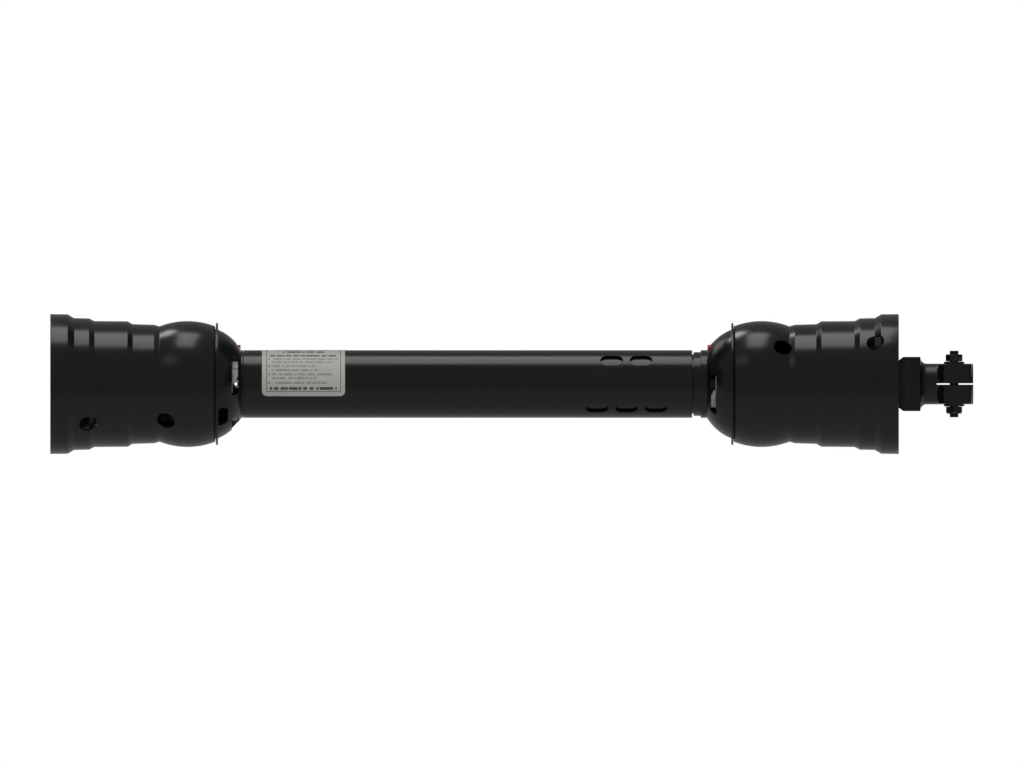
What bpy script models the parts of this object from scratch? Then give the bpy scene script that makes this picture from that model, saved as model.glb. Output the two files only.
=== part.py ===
"""Guarded agricultural drive shaft: two universal joints, telescopic tubes, and a plastic guard that stays still.

X runs along the shaft from the tractor end to the implement end and Z is up. Around the shaft, an angle is
counted from the side that faces -Y upwards to +Z. Along each guard half, a depth is counted from the rim of
its bell towards the middle of the shaft. Along a yoke, a reach is counted from the centre of its cross.
"""

from math import asin, ceil, cos, hypot, pi, radians, sin, sqrt

import bmesh
import bpy
from mathutils import Matrix, Vector

# Fits
FIT = 0.0003
FACETS = 24
SMALL_FACETS = 12
FINE_FACETS = 8
FLAT_ANGLE = radians(0.05)
ROUND_STEPS = 3
EAR_STEPS = 8
SLOT_END_STEPS = 4

# How far a cutting tool runs past what it cuts
PAST = 0.0100

# Whole shaft, closed
TRACTOR_RIM_X = -0.6000
GUARD_LENGTH = 1.1020
IMPLEMENT_RIM_X = TRACTOR_RIM_X + GUARD_LENGTH
TRACTOR_YOKE_SETBACK = 0.0040
IMPLEMENT_CROSS_DEPTH = 0.0360

# Bell: ledges as (length, slope to the next ledge, radius), then a neck and a swelling dome
BELL_LEDGES = (
    (0.0218, 0.0082, 0.0910),
    (0.0195, 0.0068, 0.0858),
    (0.0432, 0.0065, 0.0819),
    (0.0279, 0.0071, 0.0779),
)
BELL_DRAFT = 0.0004
BELL_NECK_RADIUS = 0.0751
BELL_DOME_LENGTH = 0.0725
BELL_DOME_RISE = 0.0068
BELL_WALL = 0.0030
BELL_HOLE_RADIUS = 0.0120
DOME_STEPS = 4

# Guard tubes
OUTER_TUBE_RADIUS = 0.0440
INNER_TUBE_RADIUS = 0.0387
GUARD_TUBE_WALL = 0.0022
OUTER_TUBE_GAP = 0.0019
INNER_TUBE_GAP = 0.0449
SLOT_LENGTH = 0.0290
SLOT_WIDTH = 0.0180
SLOT_PITCH = 0.0381
SLOT_SETBACK = 0.0474
SLOT_ROWS = ((45, 2), (135, 2), (225, 3), (315, 3))
LONGEST_SLOT_ROW = 3

# Base cone between bell and guard tube
CONE_WALL = 0.0030
FLANGE_LIP = 0.0042
FLANGE_THICKNESS = 0.0029
SPIGOT_DEPTH = 0.0080
BEAD_HEIGHT = 0.0014
BEAD_WIDTH = 0.0020
CONE_STEP = 0.0044
CONE_LENGTH = 0.0316
CONE_BULGE_RADIUS = 0.0834
CONE_STEPS = 3
LINING_STEPS = 2
COLLAR_LENGTH = 0.0082
TUBE_SEAT_LENGTH = 0.0091
WINDOW_LENGTH = 0.0085
WINDOW_SETBACK = 0.0038
WINDOW_ANGLE = 45
GRIP_HOLE_LENGTH = 0.0130
GRIP_HOLE_ANGLE = 24

# Guard bearing, a split nylon ring with bayonet lugs
BEARING_RADIUS = 0.0460
BEARING_WIDTH = 0.0105
BEARING_LIP_HEIGHT = 0.0030
BEARING_LIP_WIDTH = 0.0075
LUG_RADIUS = 0.0480
LUG_DEPTH = 0.0080
LUG_LEAD_DEPTH = 0.0032
LUG_ROOT = 0.0010
LUG_ANGLE = 23
BEARING_SPLIT = 0.0020
BEARING_SPLIT_ANGLE = 145

# Lock button of the guard
BUTTON_LENGTH = 0.0060
BUTTON_WIDTH = 0.0140
BUTTON_TOP_RADIUS = 0.0504
BUTTON_HEIGHT = 0.0084
BUTTON_SETBACK = 0.0008

# Where holes, windows and buttons sit round each half, seen from -Y
BELL_HOLE_PLACES = {
    "tractor": ((0.0493, -38), (0.0493, 142), (0.1505, -38), (0.1505, 142)),
    "implement": ((0.0295, 40), (0.0295, 220), (0.1500, 38), (0.1500, 218)),
}
WINDOW_PLACES = {"tractor": (10.5, 190.5, 280.5), "implement": (-10.5, 169.5)}
LUG_TURN = {"tractor": 10.5, "implement": -10.5}
BUTTON_PLACES = {"tractor": 100.5, "implement": 79.5}
GRIP_HOLE_PLACES = {"tractor": -39, "implement": 219}

# Cross and its bearing cups
CUP_RADIUS = 0.0151
CUP_SPAN = 0.0920
CUP_HEIGHT = 0.0208
CUP_FLOOR = 0.0026
TRUNNION_RADIUS = 0.0107
TRUNNION_PLAY = 0.0005
SHOULDER_RADIUS = 0.0130
CROSS_WEB_RADIUS = 0.0232
CROSS_WEB_THICKNESS = 0.0180
CROSS_WEB_FACETS = 16
NIPPLE_ANGLE = 45
NIPPLE_STUB_RADIUS = 0.0028
NIPPLE_STUB_LENGTH = 0.0050
NIPPLE_HEX_RADIUS = 0.0042
NIPPLE_HEX_HEIGHT = 0.0035
NIPPLE_NECK_RADIUS = 0.0022
NIPPLE_NECK_LENGTH = 0.0025
NIPPLE_HEAD_RADIUS = 0.0032
NIPPLE_HEAD_LENGTH = 0.0030

# Snap rings that hold the cups
SNAP_RING_THICKNESS = 0.0015
SNAP_RING_WIDTH = 0.0032
SNAP_GROOVE_DEPTH = 0.0011

# Forks
EAR_RADIUS = 0.0250
EAR_THICKNESS = 0.0150
EAR_LIP = 0.0040
EAR_SIDE_ANGLE = 98
EAR_TIP_ROUND = 0.0120
THROAT_REACH = 0.0460
THROAT_ROUND = 0.0200
CHEEK_HALF_WIDTH = 0.0306
CHEEK_REACH = 0.0370
BASE_HALF_WIDTH = 0.0353
BASE_RISE = 0.0060
BASE_REACH = 0.0645
BASE_SHOULDER_REACH = 0.0500
BASE_END_HALF_SPAN = 0.0400
NECK_CONE_LENGTH = 0.0065
NECK_CONE_RISE = 0.0045

# Tube yokes
NECK_RADIUS = 0.0290
HUB_RADIUS = 0.0320
HUB_LENGTH = 0.0460
SOCKET_DEPTH = 0.0600
TUBE_END_PLAY = 0.0020

# Telescopic tubes with three lobes
LOBE_MEAN_RADIUS = 0.0225
LOBE_HEIGHT = 0.0022
LOBE_POINTS = 24
PROFILE_WALL = 0.0040
PROFILE_PLAY = 0.0005
OUTER_PROFILE_GAP = 0.0250
INNER_PROFILE_GAP = 0.0380

# Spring pins through hub and tube
PIN_RADIUS = 0.0045
PIN_BORE_RADIUS = 0.0030
PIN_SLOT = 0.0012
PIN_SETBACK = 0.0050
PIN_END_MARGIN = 0.0110
PIN_RECESS = 0.0005

# Spline bore for a 1-3/8 inch shaft with six splines
SPLINE_COUNT = 6
SPLINE_MAJOR_RADIUS = 0.0176
SPLINE_MINOR_RADIUS = 0.0150
SPLINE_WIDTH = 0.0089

# Implement yoke, clamped by two bolts
CLAMP_HUB_RADIUS = 0.0265
CLAMP_HUB_LENGTH = 0.0695
CLAMP_END_CHAMFER = 0.0010
SLIT_WIDTH = 0.0020
SLIT_LENGTH = 0.0475
LUG_BLOCK_LENGTH = 0.0430
LUG_BLOCK_SETBACK = 0.0030
LUG_BLOCK_HALF_WIDTH = 0.0310
LUG_BLOCK_HALF_HEIGHT = 0.0255
LUG_BLOCK_CHAMFER = 0.0075
BOLT_SETBACK = 0.0250
BOLT_OFFSET = 0.0207
BOLT_SEAT_HEIGHT = 0.0291
BOLT_SEAT_RADIUS = 0.0133
BOLT_RADIUS = 0.0060
BOLT_END_HEIGHT = 0.0433
BOLT_HEAD_HEIGHT = 0.0080
HEX_ACROSS_FLATS = 0.0190
NUT_HEIGHT = 0.0092
NUT_TURN = 30

# Tractor yoke, held by balls under a sliding collar
BALL_HUB_RADIUS = 0.0270
BALL_RADIUS = 0.0055
BALL_ORBIT = 0.0214
BALL_COUNT = 3
BALL_LIP_RADIUS = 0.0049
COLLAR_RADIUS = 0.0340
COLLAR_WIDTH = 0.0300
COLLAR_RIM_WIDTH = 0.0050
COLLAR_WAIST_DEPTH = 0.0015
COLLAR_TRAVEL = 0.0090
SPRING_POCKET_DEPTH = 0.0078
SPRING_POCKET_RADIUS = 0.0310
BALL_RELEASE_WIDTH = 0.0060
COLLAR_END_PLAY = 0.0010
BALL_RELEASE_RADIUS = 0.0300
SPRING_WIRE_RADIUS = 0.0010
SPRING_RADIUS = 0.0291
SPRING_TURNS = 2.75
SPRING_POINTS_A_TURN = 12
STOP_WASHER_RADIUS = 0.0330
STOP_WASHER_THICKNESS = 0.0020
STOP_RING_THICKNESS = 0.0018
STOP_RING_WIDTH = 0.0042
STOP_GROOVE_DEPTH = 0.0020
STOP_GROOVE_MARGIN = 0.0028

# Places worked out from the sizes above
BELL_LENGTH = sum(length + slope for length, slope, _ in BELL_LEDGES) + BELL_DOME_LENGTH
FLANGE_START = BELL_LENGTH + FIT
FLANGE_RADIUS = BELL_NECK_RADIUS + FLANGE_LIP
CONE_START_RADIUS = BELL_NECK_RADIUS - CONE_STEP
CONE_START = FLANGE_START + FLANGE_THICKNESS
CONE_END = CONE_START + CONE_LENGTH
COLLAR_END = CONE_END + COLLAR_LENGTH
CONE_TIP = COLLAR_END + TUBE_SEAT_LENGTH
WINDOW_END = CONE_END - WINDOW_SETBACK
WINDOW_START = WINDOW_END - WINDOW_LENGTH
PIN_DEPTH = WINDOW_START + PIN_SETBACK
HUB_END_DEPTH = PIN_DEPTH + PIN_END_MARGIN
TUBE_INSERTION = SOCKET_DEPTH - TUBE_END_PLAY
BEARING_END = WINDOW_START + LUG_ROOT
BEARING_START = BEARING_END - BEARING_WIDTH
BEARING_LIP_ENDS = (BEARING_START + 2 * FIT, BEARING_START + 2 * FIT + BEARING_LIP_WIDTH)
COLLAR_REACH = BASE_REACH + COLLAR_TRAVEL + COLLAR_END_PLAY
BALL_REACH = COLLAR_REACH + COLLAR_WIDTH - BALL_RELEASE_WIDTH / 2 - COLLAR_TRAVEL
STOP_GROOVE_START = COLLAR_REACH + COLLAR_WIDTH + FIT + STOP_WASHER_THICKNESS + FIT
STOP_GROOVE_END = STOP_GROOVE_START + STOP_RING_THICKNESS + FIT
BALL_YOKE_LENGTH = STOP_GROOVE_END + STOP_GROOVE_MARGIN
CLAMP_YOKE_LENGTH = BASE_REACH + CLAMP_HUB_LENGTH
TRACTOR_CROSS_DEPTH = BALL_YOKE_LENGTH + TRACTOR_YOKE_SETBACK
CUP_FACE = CUP_SPAN / 2
EAR_OUTER = CUP_FACE + EAR_LIP
EAR_INNER = EAR_OUTER - EAR_THICKNESS
TUBE_YOKE_LENGTH = {
    "tractor": HUB_END_DEPTH - TRACTOR_CROSS_DEPTH,
    "implement": HUB_END_DEPTH - IMPLEMENT_CROSS_DEPTH,
}
CROSS_DEPTH = {"tractor": TRACTOR_CROSS_DEPTH, "implement": IMPLEMENT_CROSS_DEPTH}


def facing(angle):
    """Unit vector square to the shaft at an angle in degrees."""
    return Vector((0, -cos(radians(angle)), sin(radians(angle))))


def finished(bm):
    """Mesh of a bmesh, with outward faces and smooth round stretches."""
    bmesh.ops.remove_doubles(bm, verts=bm.verts, dist=1e-7)
    bmesh.ops.recalc_face_normals(bm, faces=bm.faces)
    mesh = bpy.data.meshes.new("shape")
    bm.to_mesh(mesh)
    bm.free()
    return mesh


def spun(profile, facets=FACETS):
    """Solid turned about X from (x, radius) points, a ring outline or a chain that starts and ends on the axis."""
    bm = bmesh.new()
    corners = [bm.verts.new((x, 0, -radius)) for x, radius in profile]
    edges = [bm.edges.new(pair) for pair in zip(corners, corners[1:])]
    if profile[0][1] > 0:
        edges.append(bm.edges.new((corners[-1], corners[0])))
    half_facet = Matrix.Rotation(pi / facets, 3, "X")
    bmesh.ops.rotate(bm, verts=corners, cent=(0, 0, 0), matrix=half_facet)
    bmesh.ops.spin(
        bm, geom=corners + edges, cent=(0, 0, 0), axis=(1, 0, 0), angle=2 * pi, steps=facets, use_merge=True
    )
    return finished(bm)


def extruded(outline, start, end):
    """Solid of a (y, z) outline drawn out along X."""
    bm = bmesh.new()
    face = bm.faces.new([bm.verts.new((start, y, z)) for y, z in outline])
    drawn = bmesh.ops.extrude_face_region(bm, geom=[face])["geom"]
    moved = [item for item in drawn if isinstance(item, bmesh.types.BMVert)]
    bmesh.ops.translate(bm, verts=moved, vec=(end - start, 0, 0))
    return finished(bm)


def box(low, high):
    """Box between two corners."""
    outline = ((low[1], low[2]), (high[1], low[2]), (high[1], high[2]), (low[1], high[2]))
    return extruded(outline, low[0], high[0])


def tube_between(outer, inner, start, end):
    """Tube along X between two (y, z) outlines with as many points each."""
    bm = bmesh.new()
    loops = [
        [bm.verts.new((x, y, z)) for y, z in outline]
        for x, outline in ((start, outer), (end, outer), (end, inner), (start, inner))
    ]
    for near, far in zip(loops, loops[1:] + loops[:1]):
        for k in range(len(near)):
            bm.faces.new((near[k - 1], near[k], far[k], far[k - 1]))
    return finished(bm)


def band(columns, inner, outer):
    """Curved block between two radii, from (angle, start, end) columns round the shaft."""
    bm = bmesh.new()
    rings = []
    for angle, start, end in columns:
        corners = ((start, inner), (end, inner), (end, outer), (start, outer))
        rings.append([bm.verts.new(Vector((x, 0, 0)) + facing(angle) * radius) for x, radius in corners])
    for near, far in zip(rings, rings[1:]):
        for k in range(4):
            bm.faces.new((near[k - 1], near[k], far[k], far[k - 1]))
    bm.faces.new(rings[0])
    bm.faces.new(rings[-1])
    return finished(bm)


def sector(angle, width, start, end, inner, outer):
    """Curved block of even length, centred on an angle."""
    steps = ceil(width / 9)
    angles = [angle - width / 2 + width * k / steps for k in range(steps + 1)]
    return band([(a, start, end) for a in angles], inner, outer)


def arc(centre, radius, first, last, steps):
    """Points on an arc, with its angles in degrees."""
    angles = [radians(first + (last - first) * k / steps) for k in range(steps + 1)]
    return [(centre[0] + radius * cos(a), centre[1] + radius * sin(a)) for a in angles]


def bulge(start, end, radius, steps):
    """Points of an arc of a given radius from start to end, bulging away from the axis."""
    chord = hypot(end[0] - start[0], end[1] - start[1])
    drop = sqrt(radius**2 - chord**2 / 4)
    middle = ((start[0] + end[0]) / 2, (start[1] + end[1]) / 2)
    across = ((end[1] - start[1]) / chord, -(end[0] - start[0]) / chord)
    centre = (middle[0] + across[0] * drop, middle[1] + across[1] * drop)
    first, last = (Vector((p[0] - centre[0], p[1] - centre[1])) for p in (start, end))
    turn = first.angle_signed(last)
    turned = [Matrix.Rotation(-turn * k / steps, 2) @ first for k in range(steps + 1)]
    return [(centre[0] + v.x, centre[1] + v.y) for v in turned]


def circle(radius, points=SMALL_FACETS):
    """Round outline."""
    return [(radius * cos(2 * pi * k / points), radius * sin(2 * pi * k / points)) for k in range(points)]


def placed(mesh, matrix):
    """The mesh itself, moved by a matrix."""
    mesh.transform(matrix)
    return mesh


def radial(mesh, depth, angle):
    """A mesh made along X, turned to point outwards at an angle, its Y along the shaft."""
    outward = facing(angle)
    along = Vector((1, 0, 0))
    turn = Matrix((outward, along, outward.cross(along))).transposed().to_4x4()
    return placed(mesh, Matrix.Translation((depth, 0, 0)) @ turn)


def carved(blank, *steps):
    """The blank after Boolean steps, each an operation and the mesh it uses."""
    scene = bpy.context.scene.collection.objects
    holder = bpy.data.objects.new("blank", blank)
    scene.link(holder)
    tools = []
    for operation, mesh in steps:
        tool = bpy.data.objects.new("tool", mesh)
        scene.link(tool)
        step = holder.modifiers.new(operation, "BOOLEAN")
        step.operation = operation
        step.solver = "EXACT"
        step.object = tool
        tools.append(tool)
    graph = bpy.context.evaluated_depsgraph_get()
    result = bpy.data.meshes.new_from_object(holder.evaluated_get(graph))
    for item in (holder, *tools):
        bpy.data.objects.remove(item)
    bm = bmesh.new()
    bm.from_mesh(result)
    bmesh.ops.dissolve_limit(bm, angle_limit=FLAT_ANGLE, verts=bm.verts, edges=bm.edges)
    bm.to_mesh(result)
    bm.free()
    return result


def cut(*meshes):
    """Boolean steps that take meshes away."""
    return [("DIFFERENCE", mesh) for mesh in meshes]


def joined(*meshes):
    """Boolean steps that add meshes."""
    return [("UNION", mesh) for mesh in meshes]


def material(name, colour, roughness, metallic=0.0):
    """Plain Principled material."""
    made = bpy.data.materials.new(name)
    made.use_nodes = True
    shader = made.node_tree.nodes["Principled BSDF"]
    shader.inputs["Base Color"].default_value = (*colour, 1)
    shader.inputs["Roughness"].default_value = roughness
    shader.inputs["Metallic"].default_value = metallic
    return made


def frame(name, x, turned=False, roll=0):
    """Empty on the shaft's axis. Turned, its X points to the tractor."""
    empty = bpy.data.objects.new(name, None)
    bpy.context.scene.collection.objects.link(empty)
    empty.location = (x, 0, 0)
    empty.rotation_euler = (radians(roll), 0, pi if turned else 0)
    return empty


def node(name, shape, finish, parent, rotation=(0, 0, 0)):
    """Named sub-part under its parent empty."""
    if isinstance(shape, bpy.types.Mesh):
        shape.shade_smooth()
        shape.set_sharp_from_angle(angle=radians(32))
        shape.materials.clear()
    shape.materials.append(finish)
    made = bpy.data.objects.new(name, shape)
    bpy.context.scene.collection.objects.link(made)
    made.parent = parent
    made.rotation_euler = rotation
    return made


def over_flats(line):
    """A turned (x, radius) line whose facets, not their edges, lie at its radii."""
    return [(x, radius / cos(pi / FACETS)) for x, radius in line]


def bell_line():
    """Outer (depth, radius) line of a bell, from its rim to its mouth on the base cone."""
    line = []
    depth = 0
    for length, slope, radius in BELL_LEDGES:
        line += [(depth, radius), (depth + length, radius - BELL_DRAFT)]
        depth += length + slope
    half = BELL_DOME_LENGTH / 2
    swell = (half**2 + BELL_DOME_RISE**2) / (2 * BELL_DOME_RISE)
    return line + bulge((depth, BELL_NECK_RADIUS), (BELL_LENGTH, BELL_NECK_RADIUS), swell, DOME_STEPS)


def bell(side):
    """Stepped bell of even wall, with round holes through it."""
    outer = bell_line()
    inner = [(depth, radius - BELL_WALL) for depth, radius in reversed(outer)]
    holes = []
    for depth, angle in BELL_HOLE_PLACES[side]:
        reach = (BELL_NECK_RADIUS - BELL_WALL - PAST, BELL_LEDGES[0][2] + PAST)
        punch = extruded(circle(BELL_HOLE_RADIUS), *reach)
        holes.append(radial(punch, depth, own_angle(side, angle)))
    return carved(spun(over_flats(outer + inner)), *cut(*holes))


def own_angle(side, angle):
    """An angle seen from -Y, in the frame of a side: the implement half is turned round."""
    return angle if side == "tractor" else 180 - angle


def base_cone(side):
    """Domed cone that carries bell and guard tube, with its bearing seat, windows and button pocket."""
    spigot = BELL_NECK_RADIUS - BELL_WALL - FIT
    spigot_start = FLANGE_START - SPIGOT_DEPTH
    bead = spigot + BEAD_HEIGHT
    seat = BEARING_RADIUS + FIT
    sleeve = seat + CONE_WALL
    bore = INNER_TUBE_RADIUS + FIT
    tube_seat = OUTER_TUBE_RADIUS - GUARD_TUBE_WALL - FIT
    dome = bulge((CONE_START, CONE_START_RADIUS), (CONE_END, OUTER_TUBE_RADIUS), CONE_BULGE_RADIUS, CONE_STEPS)
    lining_start = (FLANGE_START, spigot - CONE_WALL)
    lining_end = (WINDOW_START + CONE_WALL, sleeve)
    lining = bulge(lining_start, lining_end, CONE_BULGE_RADIUS - CONE_WALL, LINING_STEPS)
    outline = [
        (spigot_start, spigot - CONE_WALL),
        (spigot_start, bead),
        (spigot_start + BEAD_WIDTH, bead),
        (spigot_start + 2 * BEAD_WIDTH, spigot),
        (FLANGE_START, spigot),
        (FLANGE_START, FLANGE_RADIUS),
        (CONE_START, FLANGE_RADIUS),
        *dome,
        (COLLAR_END, OUTER_TUBE_RADIUS),
        (COLLAR_END, tube_seat),
        (CONE_TIP, tube_seat),
        (CONE_TIP, bore),
        (WINDOW_END + FIT, bore),
        (WINDOW_END + FIT, seat),
        (BEARING_START - FIT, seat),
        (BEARING_START - FIT, sleeve),
        *reversed(lining),
    ]
    windows = [
        sector(own_angle(side, angle), WINDOW_ANGLE, WINDOW_START, WINDOW_END, bore, CONE_START_RADIUS)
        for angle in WINDOW_PLACES[side]
    ]
    grip = own_angle(side, GRIP_HOLE_PLACES[side])
    grip_start = CONE_START + BELL_DRAFT
    grip_hole = sector(
        grip, GRIP_HOLE_ANGLE, grip_start, grip_start + GRIP_HOLE_LENGTH, sleeve + CONE_WALL, FLANGE_RADIUS
    )
    pocket = radial(button_block(FIT, CONE_WALL), button_depth(), own_angle(side, BUTTON_PLACES[side]))
    return carved(spun(outline), *cut(*windows, grip_hole, pocket))


def button_depth():
    """Depth of the lock button's middle."""
    return CONE_END - BUTTON_SETBACK - BUTTON_LENGTH / 2


def button_block(clearance, margin):
    """The lock button's block along X, or with clearance and margin the pocket that it slides in."""
    half_length = BUTTON_LENGTH / 2 + clearance
    half_width = BUTTON_WIDTH / 2 + clearance
    low = BUTTON_TOP_RADIUS - BUTTON_HEIGHT - margin
    return box((low, -half_length, -half_width), (BUTTON_TOP_RADIUS + margin, half_length, half_width))


def guard_bearing(side):
    """Split ring that runs in the yoke's groove, with lugs that lock in the cone's windows."""
    inner = HUB_RADIUS + FIT
    lip = HUB_RADIUS - BEARING_LIP_HEIGHT + FIT
    lip_start, lip_end = BEARING_LIP_ENDS
    ring = spun(
        [
            (BEARING_START, inner),
            (BEARING_START, BEARING_RADIUS),
            (BEARING_END, BEARING_RADIUS),
            (BEARING_END, inner),
            (lip_end, inner),
            (lip_end, lip),
            (lip_start, lip),
            (lip_start, inner),
        ]
    )
    lugs = []
    for angle in WINDOW_PLACES[side]:
        middle = own_angle(side, angle + LUG_TURN[side])
        lugs.append(lug(middle))
    half = BEARING_SPLIT / 2
    saw = box((0, -PAST, -half), (LUG_RADIUS + PAST, BEARING_WIDTH + PAST, half))
    split = radial(saw, BEARING_START, BEARING_SPLIT_ANGLE)
    return carved(ring, *joined(*lugs), *cut(split))


def lug(middle):
    """Bayonet lug with a slanted lead-in at the end that the cone turns onto."""
    start = WINDOW_START + FIT
    end = start + LUG_DEPTH
    shallow = start + LUG_LEAD_DEPTH
    columns = (
        (middle - LUG_ANGLE / 2, start, shallow),
        (middle - LUG_ANGLE / 4, start, end),
        (middle + LUG_ANGLE / 4, start, end),
        (middle + LUG_ANGLE / 2, start, end),
    )
    return band(columns, (HUB_RADIUS + BEARING_RADIUS) / 2, LUG_RADIUS)


def outer_guard_tube():
    """Guard tube of the tractor half, in its frame, with staggered slots near the open end."""
    start = COLLAR_END + FIT
    end = GUARD_LENGTH - CONE_TIP - OUTER_TUBE_GAP
    inner_radius = OUTER_TUBE_RADIUS - GUARD_TUBE_WALL
    outline = (
        (start, inner_radius),
        (start, OUTER_TUBE_RADIUS),
        (end, OUTER_TUBE_RADIUS),
        (end, inner_radius),
    )
    slots = []
    for angle, count in SLOT_ROWS:
        for k in range(count):
            depth = end - SLOT_SETBACK - SLOT_PITCH * (k + (LONGEST_SLOT_ROW - count) / 2)
            slots.append(radial(slot_punch(), depth, angle))
    return carved(spun(outline), *cut(*slots))


def slot_punch():
    """Punch with round ends, as long as a slot along the shaft."""
    half = SLOT_WIDTH / 2
    straight = (SLOT_LENGTH - SLOT_WIDTH) / 2
    outline = arc((straight, 0), half, -90, 90, SLOT_END_STEPS)
    outline += arc((-straight, 0), half, 90, 270, SLOT_END_STEPS)
    return extruded(outline, OUTER_TUBE_RADIUS - GUARD_TUBE_WALL - PAST, OUTER_TUBE_RADIUS + PAST)


def inner_guard_tube():
    """Guard tube of the implement half, in its frame."""
    start = WINDOW_END + CONE_WALL
    end = GUARD_LENGTH - CONE_TIP - INNER_TUBE_GAP
    inner_radius = INNER_TUBE_RADIUS - GUARD_TUBE_WALL
    outline = ((start, inner_radius), (start, INNER_TUBE_RADIUS), (end, INNER_TUBE_RADIUS), (end, inner_radius))
    return spun(outline)


def fork():
    """Two-eared fork with its pin axis along Y, from the crossing of a plan and a side outline."""
    tip = EAR_OUTER - EAR_TIP_ROUND
    ear = [
        (-EAR_RADIUS, EAR_INNER),
        *reversed(arc((EAR_TIP_ROUND - EAR_RADIUS, tip), EAR_TIP_ROUND, 90, 180, ROUND_STEPS)),
        (BASE_SHOULDER_REACH, EAR_OUTER),
        (BASE_REACH, BASE_END_HALF_SPAN),
    ]
    throat_corner = (THROAT_REACH - THROAT_ROUND, EAR_INNER - THROAT_ROUND)
    throat = arc(throat_corner, THROAT_ROUND, 0, 90, ROUND_STEPS)
    mirrored = [(x, -y) for x, y in reversed(ear)] + [(x, -y) for x, y in reversed(throat)]
    side = [
        *arc((0, 0), EAR_RADIUS, 360 - EAR_SIDE_ANGLE, EAR_SIDE_ANGLE, EAR_STEPS),
        (CHEEK_REACH, CHEEK_HALF_WIDTH),
        (CHEEK_REACH + BASE_RISE, BASE_HALF_WIDTH),
        (BASE_REACH, BASE_HALF_WIDTH),
        (BASE_REACH, -BASE_HALF_WIDTH),
        (CHEEK_REACH + BASE_RISE, -BASE_HALF_WIDTH),
        (CHEEK_REACH, -CHEEK_HALF_WIDTH),
    ]
    plan = [(y, x) for x, y in ear + mirrored + throat]
    deep = EAR_OUTER + PAST
    plan_block = placed(extruded(plan, -deep, deep), Matrix.Rotation(pi / 2, 4, "Y"))
    side_block = placed(extruded(side, -deep, deep), Matrix.Rotation(-pi / 2, 4, "Z"))
    return carved(plan_block, ("INTERSECT", side_block))


def ear_bores():
    """Tool for the cup bores of a fork and their snap ring grooves."""
    bore = CUP_RADIUS + FIT
    groove = bore + SNAP_GROOVE_DEPTH
    groove_start = CUP_FACE + FIT / 2
    groove_end = groove_start + SNAP_RING_THICKNESS + 2 * FIT
    half = [(groove_start, bore), (groove_start, groove), (groove_end, groove), (groove_end, bore)]
    end = (EAR_OUTER + PAST, bore)
    whole = [(-x, r) for x, r in reversed([*half, end])] + [*half, end]
    outline = [(whole[0][0], 0), *whole, (whole[-1][0], 0)]
    return placed(spun(outline, SMALL_FACETS), Matrix.Rotation(pi / 2, 4, "Z"))


def neck_line(radius):
    """Start of a hub's turned outline: from inside the fork's base down a short cone to the hub."""
    return [
        (BASE_SHOULDER_REACH, 0),
        (BASE_SHOULDER_REACH, radius + NECK_CONE_RISE),
        (BASE_REACH, radius + NECK_CONE_RISE),
        (BASE_REACH + NECK_CONE_LENGTH, radius),
    ]


def lobed(offset):
    """Three-lobed outline of the telescopic tubes, moved out or in by an offset."""
    points = []
    for k in range(LOBE_POINTS):
        a = 2 * pi * k / LOBE_POINTS
        radius = LOBE_MEAN_RADIUS + LOBE_HEIGHT * cos(3 * a)
        slope = -3 * LOBE_HEIGHT * sin(3 * a)
        normal = Vector((radius * cos(a) + slope * sin(a), radius * sin(a) - slope * cos(a))).normalized()
        points.append((radius * cos(a) + offset * normal.x, radius * sin(a) + offset * normal.y))
    return points


def pin_hole(side, radius, reach):
    """Tool for the spring pin's hole, along the fork's ear width on the tractor side and along its pins on the other."""
    hole = extruded(circle(radius), -HUB_RADIUS - PAST, HUB_RADIUS + PAST)
    axis = pin_turn(side)
    return placed(hole, Matrix.Translation((reach, 0, 0)) @ axis)


def pin_turn(side):
    """Rotation that takes X to the spring pin's axis in the tube yoke's frame."""
    return Matrix.Rotation(pi / 2, 4, "Y" if side == "tractor" else "Z")


def profile_offset(side):
    """How far a side's tube lies inside the outer one."""
    return 0 if side == "tractor" else -PROFILE_WALL - PROFILE_PLAY


def tube_yoke(side):
    """Fork with a neck and a hub that takes the profile tube, with the guard bearing's groove."""
    length = TUBE_YOKE_LENGTH[side]
    reach_of = -CROSS_DEPTH[side]
    groove = (BEARING_LIP_ENDS[0] - FIT + reach_of, BEARING_LIP_ENDS[1] + FIT + reach_of)
    groove_radius = HUB_RADIUS - BEARING_LIP_HEIGHT
    turned = neck_line(NECK_RADIUS) + [
        (length - HUB_LENGTH, NECK_RADIUS),
        (length - HUB_LENGTH + HUB_RADIUS - NECK_RADIUS, HUB_RADIUS),
        (groove[0], HUB_RADIUS),
        (groove[0], groove_radius),
        (groove[1], groove_radius),
        (groove[1], HUB_RADIUS),
        (length, HUB_RADIUS),
        (length, 0),
    ]
    socket = extruded(lobed(profile_offset(side) + FIT), length - SOCKET_DEPTH, length + PAST)
    hole = pin_hole(side, PIN_RADIUS + FIT, PIN_DEPTH + reach_of)
    return carved(fork(), *joined(spun(turned)), *cut(ear_bores(), socket, hole))


def profile_tube(side, start, end):
    """Three-lobed tube from start to end, in its tube yoke's frame, drilled for the spring pin."""
    offset = profile_offset(side)
    tube = tube_between(lobed(offset), lobed(offset - PROFILE_WALL), start, end)
    return carved(tube, *cut(pin_hole(side, PIN_RADIUS + FIT, PIN_DEPTH - CROSS_DEPTH[side])))


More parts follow.
